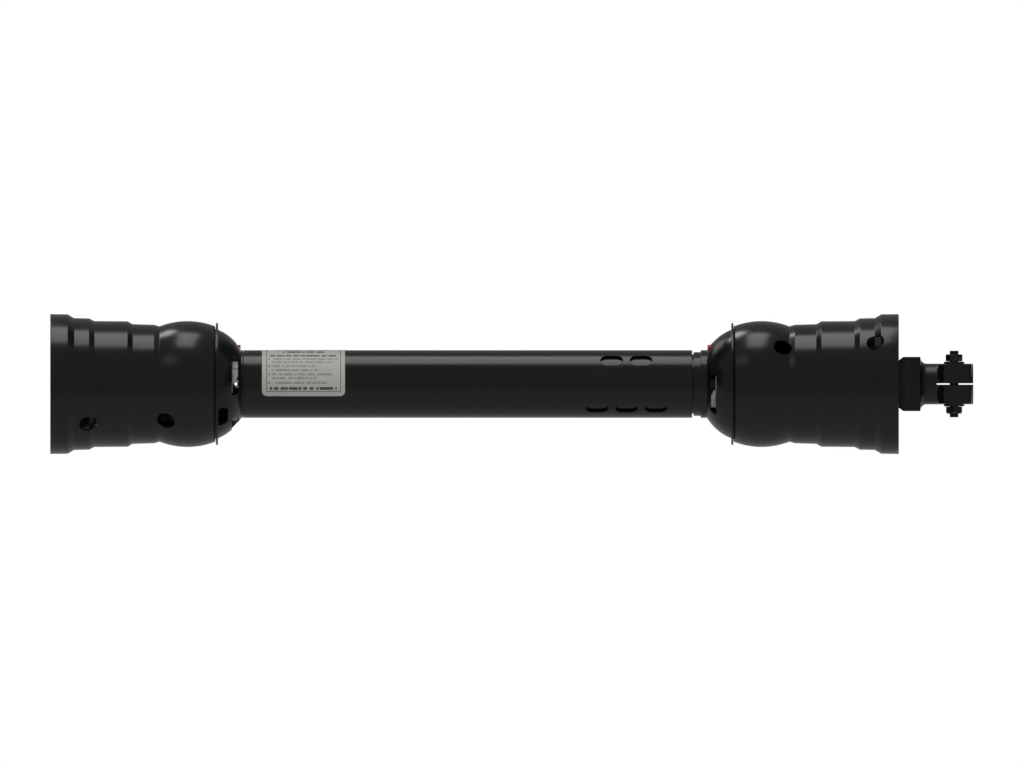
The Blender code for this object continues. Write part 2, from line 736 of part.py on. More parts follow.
def spring_pin(side):
    """Slotted hollow pin, in its tube yoke's frame."""
    half = HUB_RADIUS - PIN_RECESS
    blank = extruded(circle(PIN_RADIUS), -half, half)
    bore = extruded(circle(PIN_BORE_RADIUS), -half - PAST, half + PAST)
    slot = box((-half - PAST, 0, -PIN_SLOT / 2), (half + PAST, PIN_RADIUS + PAST, PIN_SLOT / 2))
    pin = carved(blank, *cut(bore, slot))
    reach = PIN_DEPTH - CROSS_DEPTH[side]
    return placed(pin, Matrix.Translation((reach, 0, 0)) @ pin_turn(side))


def cross():
    """Forged cross with four trunnions, and a tapped hole for its grease nipple."""
    trunnion_end = CUP_FACE - CUP_FLOOR - FIT
    shoulder_end = CUP_FACE - CUP_HEIGHT - 2 * FIT
    arm = [
        (-trunnion_end, 0),
        (-trunnion_end, TRUNNION_RADIUS),
        (-shoulder_end, TRUNNION_RADIUS),
        (-shoulder_end, SHOULDER_RADIUS),
    ]
    arm += [(-x, r) for x, r in reversed(arm)]
    web_half = CROSS_WEB_THICKNESS / 2
    disc = [(-web_half, 0), (-web_half, CROSS_WEB_RADIUS), (web_half, CROSS_WEB_RADIUS), (web_half, 0)]
    web = spun(disc, CROSS_WEB_FACETS)
    along_y = placed(spun(arm, SMALL_FACETS), Matrix.Rotation(pi / 2, 4, "Z"))
    half_facet = Matrix.Rotation(pi / SMALL_FACETS, 4, "X")
    along_z = placed(spun(arm, SMALL_FACETS), Matrix.Rotation(pi / 2, 4, "Y") @ half_facet)
    hole_floor = CROSS_WEB_RADIUS - NIPPLE_STUB_LENGTH - FIT
    drill = extruded(circle(NIPPLE_STUB_RADIUS + FIT, FINE_FACETS), hole_floor, CROSS_WEB_RADIUS + PAST)
    tapped = radial(drill, 0, NIPPLE_ANGLE)
    return carved(web, *joined(along_y, along_z), *cut(tapped))


def grease_nipple():
    """Hexagon nipple screwed into the cross between two arms, in the cross's frame."""
    stub_start = CROSS_WEB_RADIUS - NIPPLE_STUB_LENGTH
    hex_start = CROSS_WEB_RADIUS + FIT
    hex_end = hex_start + NIPPLE_HEX_HEIGHT
    neck_end = hex_end + NIPPLE_NECK_LENGTH
    head_end = neck_end + NIPPLE_HEAD_LENGTH
    core = spun(
        [
            (stub_start, 0),
            (stub_start, NIPPLE_STUB_RADIUS),
            (hex_end - FIT, NIPPLE_STUB_RADIUS),
            (hex_end + FIT, NIPPLE_NECK_RADIUS),
            (neck_end, NIPPLE_NECK_RADIUS),
            (neck_end + NIPPLE_HEAD_LENGTH / 3, NIPPLE_HEAD_RADIUS),
            (head_end, NIPPLE_NECK_RADIUS),
            (head_end, 0),
        ],
        FINE_FACETS,
    )
    hexagon = extruded(circle(NIPPLE_HEX_RADIUS, 6), hex_start, hex_end)
    return radial(carved(core, *joined(hexagon)), 0, NIPPLE_ANGLE)


def cup():
    """Bearing cup with its needles, from the cross's centre outwards along X."""
    bore = TRUNNION_RADIUS + TRUNNION_PLAY
    inner_face = CUP_FACE - CUP_HEIGHT
    floor = CUP_FACE - CUP_FLOOR
    chamfer = 2 * FIT
    outline = [
        (CUP_FACE, 0),
        (CUP_FACE, CUP_RADIUS - chamfer),
        (CUP_FACE - chamfer, CUP_RADIUS),
        (inner_face, CUP_RADIUS),
        (inner_face, bore),
        (floor, bore),
        (floor, 0),
    ]
    return spun(outline, SMALL_FACETS)


def open_ring(inner, outer, start, end, facets):
    """Flat ring with one facet left open at the top."""
    angles = [90 + (k + 0.5) * 360 / facets for k in range(facets)]
    return band([(a, start, end) for a in angles], inner, outer)


def snap_ring():
    """Ring in the ear's groove outside a cup, from the cross's centre outwards along X."""
    start = CUP_FACE + FIT / 2 + FIT
    outer = CUP_RADIUS + SNAP_GROOVE_DEPTH
    return open_ring(outer - SNAP_RING_WIDTH, outer, start, start + SNAP_RING_THICKNESS, SMALL_FACETS)


def spline_bore(start, end):
    """Tool for a bore with six spline grooves."""
    outline = []
    for k in range(SPLINE_COUNT):
        middle = 2 * pi * k / SPLINE_COUNT
        major = asin(SPLINE_WIDTH / 2 / SPLINE_MAJOR_RADIUS)
        minor = asin(SPLINE_WIDTH / 2 / SPLINE_MINOR_RADIUS)
        land = pi / SPLINE_COUNT
        for radius, a in (
            (SPLINE_MINOR_RADIUS, -minor),
            (SPLINE_MAJOR_RADIUS, -major),
            (SPLINE_MAJOR_RADIUS, 0),
            (SPLINE_MAJOR_RADIUS, major),
            (SPLINE_MINOR_RADIUS, minor),
            (SPLINE_MINOR_RADIUS, land),
        ):
            outline.append((radius * cos(middle + a), radius * sin(middle + a)))
    return extruded(outline, start, end)


def clamp_yoke():
    """Implement yoke with a splined hub, slit on both sides and closed by two bolts beside the bore."""
    end = CLAMP_YOKE_LENGTH
    turned = neck_line(CLAMP_HUB_RADIUS) + [
        (end - CLAMP_END_CHAMFER, CLAMP_HUB_RADIUS),
        (end, CLAMP_HUB_RADIUS - CLAMP_END_CHAMFER),
        (end, 0),
    ]
    block_end = end - LUG_BLOCK_SETBACK
    block_start = block_end - LUG_BLOCK_LENGTH
    wide = LUG_BLOCK_HALF_WIDTH
    narrow = wide - LUG_BLOCK_CHAMFER
    half_plan = [
        (block_start, narrow),
        (block_start + LUG_BLOCK_CHAMFER, wide),
        (block_end - LUG_BLOCK_SETBACK, wide),
        (block_end, wide - LUG_BLOCK_SETBACK),
    ]
    plan = half_plan + [(x, -y) for x, y in reversed(half_plan)]
    high = LUG_BLOCK_HALF_HEIGHT
    block = placed(extruded([(y, x) for x, y in plan], -high, high), Matrix.Rotation(pi / 2, 4, "Y"))
    bolt_reach = end - BOLT_SETBACK
    seats = [upright(BOLT_SEAT_RADIUS, BOLT_SEAT_HEIGHT, bolt_reach, y) for y in (-BOLT_OFFSET, BOLT_OFFSET)]
    holes = [
        upright(BOLT_RADIUS + FIT, BOLT_SEAT_HEIGHT + PAST, bolt_reach, y) for y in (-BOLT_OFFSET, BOLT_OFFSET)
    ]
    far = EAR_OUTER
    flats = [
        box((block_start, y, -far), (end + PAST, y + far, far)) for y in (-wide - far, wide)
    ]
    slit = box((end - SLIT_LENGTH, -far, -SLIT_WIDTH / 2), (end + PAST, far, SLIT_WIDTH / 2))
    bore = spline_bore(THROAT_REACH - PAST, end + PAST)
    return carved(
        fork(), *joined(spun(turned), block, *seats), *cut(*flats, ear_bores(), bore, slit, *holes)
    )


def upright(radius, half_height, reach, offset):
    """Cylinder along Z at a reach and an offset along Y."""
    post = extruded(circle(radius), -half_height, half_height)
    return placed(post, Matrix.Translation((reach, offset, 0)) @ Matrix.Rotation(pi / 2, 4, "Y"))


def hexagon_bar(start, end, turn):
    """Hexagon along X."""
    corner = HEX_ACROSS_FLATS / 2 / cos(pi / 6)
    angles = [pi / 3 * k + radians(turn) for k in range(6)]
    return extruded([(corner * cos(a), corner * sin(a)) for a in angles], start, end)


def clamp_bolt():
    """Bolt along X: its thread end at plus, its head under the seat at minus."""
    seat = BOLT_SEAT_HEIGHT + FIT
    head = hexagon_bar(-seat - BOLT_HEAD_HEIGHT, -seat, 0)
    chamfer = 3 * FIT
    shank = spun(
        [
            (-seat - BOLT_HEAD_HEIGHT / 2, 0),
            (-seat - BOLT_HEAD_HEIGHT / 2, BOLT_RADIUS),
            (BOLT_END_HEIGHT - chamfer, BOLT_RADIUS),
            (BOLT_END_HEIGHT, BOLT_RADIUS - chamfer),
            (BOLT_END_HEIGHT, 0),
        ],
        SMALL_FACETS,
    )
    return carved(head, *joined(shank))


def clamp_nut(turn):
    """Nut on the bolt's thread end, along X."""
    start = BOLT_SEAT_HEIGHT + FIT
    end = start + NUT_HEIGHT
    hole = extruded(circle(BOLT_RADIUS + FIT), start - PAST, end + PAST)
    return carved(hexagon_bar(start, end, turn), *cut(hole))


def ball_yoke():
    """Tractor yoke with a splined hub, ball holes and a groove for the ring that stops its collar."""
    end = BALL_YOKE_LENGTH
    groove_radius = BALL_HUB_RADIUS - STOP_GROOVE_DEPTH
    turned = [
        (BASE_SHOULDER_REACH, 0),
        (BASE_SHOULDER_REACH, BALL_HUB_RADIUS),
        (STOP_GROOVE_START, BALL_HUB_RADIUS),
        (STOP_GROOVE_START, groove_radius),
        (STOP_GROOVE_END, groove_radius),
        (STOP_GROOVE_END, BALL_HUB_RADIUS),
        (end - CLAMP_END_CHAMFER, BALL_HUB_RADIUS),
        (end, BALL_HUB_RADIUS - CLAMP_END_CHAMFER),
        (end, 0),
    ]
    seat_depth = sqrt(BALL_RADIUS**2 - (BALL_LIP_RADIUS - FIT) ** 2)
    wells = []
    for angle in ball_angles():
        well = extruded(circle(BALL_RADIUS + FIT), BALL_ORBIT - seat_depth, BALL_HUB_RADIUS + PAST)
        mouth = extruded(circle(BALL_LIP_RADIUS), SPLINE_MINOR_RADIUS - PAST, BALL_ORBIT)
        wells += [radial(well, BALL_REACH, angle), radial(mouth, BALL_REACH, angle)]
    bore = spline_bore(THROAT_REACH - PAST, end + PAST)
    return carved(fork(), *joined(spun(turned)), *cut(ear_bores(), bore, *wells))


def ball_angles():
    """Angles of the balls, each over a spline groove."""
    return [90 + 360 * k / BALL_COUNT for k in range(BALL_COUNT)]


def lock_ball(angle):
    """Ball in its well, in the yoke's frame."""
    bm = bmesh.new()
    bmesh.ops.create_icosphere(bm, subdivisions=2, radius=BALL_RADIUS)
    centre = Vector((BALL_REACH, 0, 0)) + facing(angle) * BALL_ORBIT
    return placed(finished(bm), Matrix.Translation(centre))


def lock_collar():
    """Sliding collar: a spring pocket towards the fork, a land over the balls, and a release groove."""
    start = COLLAR_REACH
    end = start + COLLAR_WIDTH
    land = BALL_HUB_RADIUS + FIT
    waist = COLLAR_RADIUS - COLLAR_WAIST_DEPTH
    return spun(
        [
            (start, SPRING_POCKET_RADIUS),
            (start, COLLAR_RADIUS),
            (start + COLLAR_RIM_WIDTH, COLLAR_RADIUS),
            (start + COLLAR_RIM_WIDTH + COLLAR_WAIST_DEPTH, waist),
            (end - COLLAR_RIM_WIDTH - COLLAR_WAIST_DEPTH, waist),
            (end - COLLAR_RIM_WIDTH, COLLAR_RADIUS),
            (end, COLLAR_RADIUS),
            (end, BALL_RELEASE_RADIUS),
            (end - BALL_RELEASE_WIDTH, land),
            (start + SPRING_POCKET_DEPTH, land),
            (start + SPRING_POCKET_DEPTH, SPRING_POCKET_RADIUS),
        ]
    )


def collar_spring():
    """Helical wire between the fork's base and the bottom of the collar's pocket."""
    start = BASE_REACH + FIT + SPRING_WIRE_RADIUS
    end = COLLAR_REACH + SPRING_POCKET_DEPTH - FIT - SPRING_WIRE_RADIUS
    count = round(SPRING_TURNS * SPRING_POINTS_A_TURN)
    curve = bpy.data.curves.new("wire", "CURVE")
    curve.dimensions = "3D"
    curve.bevel_depth = SPRING_WIRE_RADIUS
    curve.bevel_resolution = 1
    curve.use_fill_caps = True
    wire = curve.splines.new("POLY")
    wire.points.add(count)
    for k, point in enumerate(wire.points):
        turn = 2 * pi * SPRING_TURNS * k / count
        x = start + (end - start) * k / count
        point.co = (x, SPRING_RADIUS * cos(turn), SPRING_RADIUS * sin(turn), 1)
    return curve


def stop_washer():
    """Washer that the collar rests against."""
    start = COLLAR_REACH + COLLAR_WIDTH + FIT
    end = start + STOP_WASHER_THICKNESS
    bore = BALL_HUB_RADIUS + FIT
    return spun([(start, bore), (start, STOP_WASHER_RADIUS), (end, STOP_WASHER_RADIUS), (end, bore)])


def stop_ring():
    """Snap ring in the hub's groove behind the washer."""
    start = STOP_GROOVE_START + FIT / 2
    inner = BALL_HUB_RADIUS - STOP_GROOVE_DEPTH + FIT
    return open_ring(inner, inner + STOP_RING_WIDTH, start, start + STOP_RING_THICKNESS, FACETS)


def build():
    """Whole shaft, lying along X at rest."""
    black_plastic = material("black_guard_plastic", (0.012, 0.012, 0.013), 0.36)
    nylon = material("grey_nylon", (0.38, 0.38, 0.37), 0.45)
    red_plastic = material("red_plastic", (0.45, 0.01, 0.02), 0.35)
    black_paint = material("black_yoke_paint", (0.011, 0.011, 0.012), 0.33)
    steel = material("ground_steel", (0.42, 0.42, 0.43), 0.30, 1.0)
    drawn_steel = material("drawn_steel", (0.24, 0.24, 0.25), 0.45, 1.0)
    dark_steel = material("dark_bolt_steel", (0.07, 0.065, 0.06), 0.38, 1.0)
    brass = material("nipple_brass", (0.55, 0.38, 0.14), 0.30, 1.0)

    rim_x = {"tractor": TRACTOR_RIM_X, "implement": IMPLEMENT_RIM_X}
    toward_middle = {"tractor": 1, "implement": -1}
    cup_shape = cup()
    snap_ring_shape = snap_ring()
    cross_shape = cross()
    nipple_shape = grease_nipple()

    for side in ("tractor", "implement"):
        turned = side == "implement"
        cross_x = rim_x[side] + toward_middle[side] * CROSS_DEPTH[side]
        guard = frame(f"{side}_guard_axis", rim_x[side], turned)
        node(f"{side}_bell", bell(side), black_plastic, guard)
        node(f"{side}_base_cone", base_cone(side), black_plastic, guard)
        node(f"{side}_guard_bearing", guard_bearing(side), nylon, guard)
        button = radial(button_block(0, 0), button_depth(), own_angle(side, BUTTON_PLACES[side]))
        node(f"{side}_lock_button", button, red_plastic, guard)

        inner_yoke = frame(f"{side}_tube_yoke_frame", cross_x, turned, roll=90)
        node(f"{side}_tube_yoke", tube_yoke(side), black_paint, inner_yoke)
        node(f"{side}_spring_pin", spring_pin(side), steel, inner_yoke)
        outer_yoke = frame(f"{side}_yoke_frame", cross_x, not turned)
        centre = frame(f"{side}_cross_centre", cross_x, turned)
        node(f"{side}_cross", cross_shape, steel, centre)
        node(f"{side}_grease_nipple", nipple_shape, brass, centre)
        facing_names = ("front", "back") if turned else ("back", "front")
        for holder, names in ((inner_yoke, ("lower", "upper")), (outer_yoke, facing_names)):
            for name, quarter in zip(names, (-pi / 2, pi / 2)):
                node(f"{side}_{name}_cup", cup_shape, steel, holder, (0, 0, quarter))
                node(f"{side}_{name}_snap_ring", snap_ring_shape, drawn_steel, holder, (0, 0, quarter))

    tractor_guard = bpy.data.objects["tractor_guard_axis"]
    implement_guard = bpy.data.objects["implement_guard_axis"]
    node("outer_guard_tube", outer_guard_tube(), black_plastic, tractor_guard)
    node("inner_guard_tube", inner_guard_tube(), black_plastic, implement_guard)

    hubs_apart = GUARD_LENGTH - 2 * HUB_END_DEPTH
    for side, name, gap in (
        ("tractor", "outer_profile_tube", OUTER_PROFILE_GAP),
        ("implement", "inner_profile_tube", INNER_PROFILE_GAP),
    ):
        length = TUBE_YOKE_LENGTH[side]
        tube = profile_tube(side, length - TUBE_INSERTION, length + hubs_apart - gap)
        node(name, tube, drawn_steel, bpy.data.objects[f"{side}_tube_yoke_frame"])

    clamp = bpy.data.objects["implement_yoke_frame"]
    node("implement_yoke", clamp_yoke(), black_paint, clamp)
    for name, offset, upward, turn in (("front", -BOLT_OFFSET, True, NUT_TURN), ("back", BOLT_OFFSET, False, 0)):
        bolt_axis = frame(f"{name}_bolt_axis", 0)
        bolt_axis.parent = clamp
        bolt_axis.location = (CLAMP_YOKE_LENGTH - BOLT_SETBACK, offset, 0)
        bolt_axis.rotation_euler = (0, -pi / 2 if upward else pi / 2, 0)
        node(f"{name}_clamp_bolt", clamp_bolt(), dark_steel, bolt_axis)
        node(f"{name}_clamp_nut", clamp_nut(turn), dark_steel, bolt_axis)

    ball_frame = bpy.data.objects["tractor_yoke_frame"]
    node("tractor_yoke", ball_yoke(), black_paint, ball_frame)
    for k, angle in enumerate(ball_angles()):
        node(f"lock_ball_{k + 1}", lock_ball(angle), steel, ball_frame)
    node("lock_collar", lock_collar(), drawn_steel, ball_frame)
    node("collar_spring", collar_spring(), drawn_steel, ball_frame)
    node("collar_stop_washer", stop_washer(), drawn_steel, ball_frame)
    node("collar_stop_ring", stop_ring(), drawn_steel, ball_frame)


for left_over in list(bpy.data.objects):
    bpy.data.objects.remove(left_over)
build()
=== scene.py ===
from math import atan2, ceil, copysign, cos, pi, radians, sin, sqrt, tan, tau

import bmesh
import bpy
from mathutils import Matrix, Vector


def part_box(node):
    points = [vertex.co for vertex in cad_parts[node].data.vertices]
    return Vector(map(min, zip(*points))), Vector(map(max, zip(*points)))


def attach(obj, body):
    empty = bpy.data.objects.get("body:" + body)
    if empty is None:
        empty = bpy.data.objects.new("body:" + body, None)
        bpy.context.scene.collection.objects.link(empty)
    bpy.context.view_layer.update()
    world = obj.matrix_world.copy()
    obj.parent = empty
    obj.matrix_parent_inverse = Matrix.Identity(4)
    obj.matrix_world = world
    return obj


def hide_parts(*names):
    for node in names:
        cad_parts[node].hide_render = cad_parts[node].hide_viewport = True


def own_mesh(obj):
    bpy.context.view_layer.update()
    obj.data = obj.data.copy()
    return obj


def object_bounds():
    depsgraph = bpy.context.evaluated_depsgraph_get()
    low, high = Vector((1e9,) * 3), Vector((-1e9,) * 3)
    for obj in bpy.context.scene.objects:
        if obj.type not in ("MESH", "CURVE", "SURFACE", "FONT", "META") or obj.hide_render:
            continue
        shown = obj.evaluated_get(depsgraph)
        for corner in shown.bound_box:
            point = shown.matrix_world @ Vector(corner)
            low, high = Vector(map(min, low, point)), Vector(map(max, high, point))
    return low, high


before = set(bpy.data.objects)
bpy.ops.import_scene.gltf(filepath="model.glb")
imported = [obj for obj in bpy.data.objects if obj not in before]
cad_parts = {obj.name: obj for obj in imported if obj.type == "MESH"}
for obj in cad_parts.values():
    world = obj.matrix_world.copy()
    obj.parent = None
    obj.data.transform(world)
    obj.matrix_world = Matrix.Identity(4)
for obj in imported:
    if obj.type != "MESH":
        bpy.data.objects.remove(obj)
cad_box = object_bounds()

# Studio
# The shaft lies level and is seen square from its side, so the camera is a parallel one, centred on it.
# A large softbox hangs over it, weaker lamps stand at its left, and three fills show in no reflection.
# The room is white where it is looked at, and grey where the shaft mirrors it, darkest past its ends.
view_width = 1.3312
camera_distance = 3.0
picture_columns = 1024
quarter_pixel = view_width / picture_columns / 4
object_middle = (cad_box[0] + cad_box[1]) / 2
bpy.context.scene.view_settings.view_transform = "Standard"

camera = bpy.data.cameras.new("side_camera")
camera.type = "ORTHO"
camera.ortho_scale = view_width
camera_place = bpy.data.objects.new("side_camera", camera)
camera_place.location = object_middle + Vector((quarter_pixel, -camera_distance, 0))
camera_place.rotation_euler = (radians(90), 0, 0)
bpy.context.collection.objects.link(camera_place)
bpy.context.scene.camera = camera_place


def softbox(name, place, aim, size, power, in_reflections=True):
    """Rectangular lamp at a place, turned to a point, its long side along the shaft."""
    lamp = bpy.data.lights.new(name, "AREA")
    lamp.shape = "RECTANGLE"
    lamp.size, lamp.size_y = size
    lamp.energy = power
    holder = bpy.data.objects.new(name, lamp)
    holder.location = place
    holder.rotation_euler = (Vector(aim) - Vector(place)).to_track_quat("-Z", "Y").to_euler()
    holder.visible_glossy = in_reflections
    bpy.context.collection.objects.link(holder)


softbox("overhead_softbox", (-0.55, 0.08, 10), (0, 0.01, 0), (6.5, 3.6), 180)
softbox("rear_left_lamp", (-3.7, 5.3, 10), (0, 0, 0), (2.6, 2.6), 115)
softbox("left_glow", (-5.7, 6.0, 6.2), (0, 0, 0), (3.4, 3.0), 36)
softbox("front_left_glow", (-4.5, -6.0, 7.0), (0, 0, 0), (3.4, 3.0), 14)
softbox("front_fill", (0, -2.2, 1.0), (0, 0, 0), (3.0, 1.5), 22, in_reflections=False)
softbox("top_fill", (0, -0.8, 2.4), (0, 0, 0), (3.0, 1.0), 26, in_reflections=False)
softbox("back_fill", (0, 2.4, 0.15), (0, 0, 0), (3.0, 1.5), 24, in_reflections=False)


def placed(name, bm):
    """Object with a shape as its mesh."""
    mesh = bpy.data.meshes.new(name)
    bm.to_mesh(mesh)
    bm.free()
    made = bpy.data.objects.new(name, mesh)
    bpy.context.collection.objects.link(made)
    return made


class Wire:
    """A value in a shader tree, so that sums of masks are written as sums."""

    def __init__(self, tree, socket):
        self.tree = tree
        self.socket = socket

    def sum(self, operation, *terms):
        node = self.tree.nodes.new("ShaderNodeMath")
        node.operation = operation
        for entry, term in zip(node.inputs, terms):
            plug(self.tree, entry, term)
        return Wire(self.tree, node.outputs[0])

    def __add__(self, other):
        return self.sum("ADD", self, other)

    __radd__ = __add__

    def __mul__(self, other):
        return self.sum("MULTIPLY", self, other)

    __rmul__ = __mul__

    def __sub__(self, other):
        return self.sum("SUBTRACT", self, other)

    def __rsub__(self, other):
        return self.sum("SUBTRACT", other, self)

    def __lt__(self, other):
        return self.sum("LESS_THAN", self, other)

    def __gt__(self, other):
        return self.sum("GREATER_THAN", self, other)

    def distance(self, other):
        return self.sum("ABSOLUTE", self - other)

    def at_least(self, other):
        return self.sum("MAXIMUM", self, other)


def plug(tree, entry, value):
    """Sets a socket to a number or a colour, or links a wire to it."""
    if isinstance(value, Wire):
        tree.links.new(value.socket, entry)
    elif entry.type == "RGBA":
        entry.default_value = (*value, 1)
    else:
        entry.default_value = value


class Finish:
    """A surface finish: a material whose nodes are laid one by one."""

    def __init__(self, name, holder=None):
        self.material = holder or bpy.data.materials.new(name)
        self.material.use_nodes = True
        self.tree = self.material.node_tree
        self.shader = self.tree.nodes.get("Principled BSDF")

    def node(self, kind, settings={}, sockets={}, output=0):
        """Node of a kind, with its settings made first and then its sockets, as the wire from one output."""
        made = self.tree.nodes.new(kind)
        for key, value in settings.items():
            setattr(made, key, value)
        for key, value in sockets.items():
            plug(self.tree, made.inputs[key], value)
        return Wire(self.tree, made.outputs[output])

    def ray(self, kind):
        """Mask that is 1 for one kind of ray."""
        return self.node("ShaderNodeLightPath", output=f"Is {kind} Ray")

    def part(self, vector, axis):
        """One of a vector's three numbers."""
        return self.node("ShaderNodeSeparateXYZ", {}, {"Vector": vector}, axis)

    def place(self, stretch=(1, 1, 1)):
        """Object coordinates, stretched."""
        raw = self.node("ShaderNodeTexCoord", output="Object")
        return self.node("ShaderNodeMapping", {}, {"Vector": raw, "Scale": stretch})

    def cloud(self, scale, detail, *stretch):
        """Soft random pattern with so many spots to the metre, drawn out where it has a stretch."""
        at = self.place(*stretch)
        return self.node("ShaderNodeTexNoise", {}, {"Vector": at, "Scale": scale, "Detail": detail})

    def blend(self, mask, first, second):
        """Colour that goes from the first to the second as the mask goes from 0 to 1."""
        sockets = {"Factor": mask, 6: first, 7: second}
        return self.node("ShaderNodeMix", {"data_type": "RGBA"}, sockets, output=2)

    def bump(self, height, depth, strength=1.0, under=None):
        """Relief of a height pattern, so many metres deep."""
        sockets = {"Height": height, "Distance": depth, "Strength": strength}
        if under:
            sockets["Normal"] = under
        return self.node("ShaderNodeBump", {}, sockets)

    def shade(self, **values):
        """Sets the shader's own sockets."""
        for key, value in values.items():
            plug(self.tree, self.shader.inputs[key.replace("_", " ").title().replace("Ior", "IOR")], value)
        return self.material


def surface(name, dark, pale, gloss, *patterns, metallic=0.0):
    """Finish of random patterns, each a scale, a detail, a share in the roughness, a depth and its strength.

    The first pattern also leads the colour from dark to pale, and each relief lies on the one before it.
    """
    skin = Finish(name)
    tone = relief = None
    for scale, detail, share, depth, strength, *stretch in patterns:
        pattern = skin.cloud(scale, detail, *stretch)
        tone = tone or pattern
        if share:
            gloss = pattern * share + gloss
        if depth:
            relief = skin.bump(pattern, depth, strength, relief)
    colour = skin.blend(tone, dark, pale)
    return skin.shade(metallic=metallic, base_color=colour, roughness=gloss, normal=relief)


room = bpy.context.scene.world or bpy.data.worlds.new("room")
bpy.context.scene.world = room
walls = Finish("room", holder=room)
looked_at, mirrored, through = (walls.ray(kind) for kind in ("Camera", "Glossy", "Transmission"))
direction = walls.node("ShaderNodeTexCoord", output="Generated")
aside, behind, height = (walls.part(direction, axis) for axis in range(3))
backdrop_height = 0.16
backdrop_depth = 0.8
end_wall = 0.9
rear_corner = 0.5
room_level = 0.20
front_level = 0.225
end_level = 0.05
at_backdrop = (height.distance(0) < backdrop_height) * (behind > backdrop_depth)
at_ends = (aside.distance(0) > end_wall).at_least((behind > 0) * (aside.distance(0) > rear_corner))
seen = looked_at.at_least((mirrored + through) * at_backdrop)
lit = (1 - mirrored) * room_level + mirrored * (front_level - at_ends * (front_level - end_level))
background = walls.tree.nodes["Background"]
plug(walls.tree, background.inputs["Color"], (1, 1, 1))
plug(walls.tree, background.inputs["Strength"], seen + (1 - seen) * lit)

floor_half_width = 6.0
floor_drop = 0.0012
sheet = bmesh.new()
bmesh.ops.create_grid(sheet, x_segments=1, y_segments=1, size=floor_half_width)
bmesh.ops.translate(sheet, verts=sheet.verts, vec=(0, 0, cad_box[0].z - floor_drop))
floor = placed("floor", sheet)
# The floor glows white for the camera, keeping some of its shadow; in the shaft's reflections it glows grey
# instead, a painted reflection in place of its own light and shade.
floor_paint = Finish("pale_floor")
floor_paint.shade(base_color=(0.82, 0.82, 0.82), roughness=0.9, specular_ior_level=0.0)
floor_mirrored = floor_paint.ray("Glossy")
floor_across = floor_paint.part(floor_paint.place(), 1)
# Painted reflection: the floor's glow in reflections goes from dim at its front to brighter behind the shaft.
floor_range = {"Value": floor_across, "From Min": -0.45, "From Max": 0.05, "To Min": 0.155, "To Max": 0.39}
painted_reflection_level = floor_paint.node("ShaderNodeMapRange", {}, floor_range)
painted_floor_reflection = floor_paint.blend(painted_reflection_level, (0, 0, 0), (1, 1, 1))
floor_glow_colour = floor_paint.blend(floor_mirrored, (1, 1, 1), painted_floor_reflection)
glow = floor_paint.node("ShaderNodeEmission", {}, {"Color": floor_glow_colour})
bare = Wire(floor_paint.tree, floor_paint.shader.outputs[0])
seen_glow = 0.6
mirrored_glow = 0.9
share = floor_paint.ray("Camera") * seen_glow + floor_mirrored * mirrored_glow
mixed = floor_paint.node("ShaderNodeMixShader", {}, {0: share, 1: bare, 2: glow})
plug(floor_paint.tree, floor_paint.tree.nodes["Material Output"].inputs["Surface"], mixed)
floor.data.materials.append(floor_paint.material)

# Guard bells
# Each bell is blow-moulded from black polyethylene, 3 mm thick, in ledges that widen to the rim.
# It snaps over the base cone's flange, and four round holes through it give room for a chain hook.
sides = ("tractor", "implement")
tractor_rim_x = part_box("tractor_bell")[0].x
implement_rim_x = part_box("implement_bell")[1].x
rim_reach = {"tractor": 0.0000, "implement": -0.0012}
ledge_shift = {"tractor": 0.0011, "implement": 0.0000}


def along(side, depth):
    """Place on X of a depth counted from a bell's rim towards the middle of the shaft."""
    return tractor_rim_x + depth if side == "tractor" else implement_rim_x - depth


def outward(angle):
    """Direction square to the shaft, at an angle counted from the viewer's side upwards."""
    return Vector((0, -cos(radians(angle)), sin(radians(angle))))


def rounded(corners, steps=4):
    """Closed outline with each (x, radius, fillet) corner rounded."""
    points = []
    for k, (x, radius, fillet) in enumerate(corners):
        here = Vector((x, radius))
        if not fillet:
            points.append(here)
            continue
        before = (Vector(corners[k - 1][:2]) - here).normalized()
        after = (Vector(corners[(k + 1) % len(corners)][:2]) - here).normalized()
        half = before.angle(after) / 2
        centre = here + (before + after).normalized() * (fillet / sin(half))
        start = here + before * (fillet / tan(half)) - centre
        sweep = start.angle_signed(here + after * (fillet / tan(half)) - centre)
        points += [centre + Matrix.Rotation(-sweep * s / steps, 2) @ start for s in range(steps + 1)]
    return points


def turned(outline, steps=128):
    """Shape spun about the shaft's axis from (x, radius) points."""
    bm = bmesh.new()
    corners = [bm.verts.new((x, 0, -radius)) for x, radius in outline]
    edges = [bm.edges.new(pair) for pair in zip(corners, corners[1:])]
    if outline[0][1] > 0:
        edges.append(bm.edges.new((corners[-1], corners[0])))
    spin = {"cent": (0, 0, 0), "axis": (1, 0, 0), "angle": tau, "steps": steps, "use_merge": True}
    bmesh.ops.spin(bm, geom=corners + edges, **spin)
    bmesh.ops.remove_doubles(bm, verts=bm.verts, dist=1e-7)
    bmesh.ops.recalc_face_normals(bm, faces=bm.faces)
    return bm


def rod(start, end, radius, segments=64, end_radius=None):
    """Round bar between two points."""
    start, end = Vector(start), Vector(end)
    bm = bmesh.new()
    lie = (end - start).to_track_quat("Z", "Y").to_matrix().to_4x4()
    matrix = Matrix.Translation((start + end) / 2) @ lie
    far = radius if end_radius is None else end_radius
    size = {"radius1": radius, "radius2": far, "depth": (end - start).length}
    bmesh.ops.create_cone(bm, cap_ends=True, segments=segments, matrix=matrix, **size)
    return bm


def turned_from_rim(side, outline, steps):
    """Shape spun from (depth, radius) points, the depths counted from a bell's rim."""
    return turned([(along(side, depth), radius) for depth, radius in outline], steps)


def polar(radius, angle):
    """Point on a circle, at an angle in degrees."""
    return radius * cos(radians(angle)), radius * sin(radians(angle))


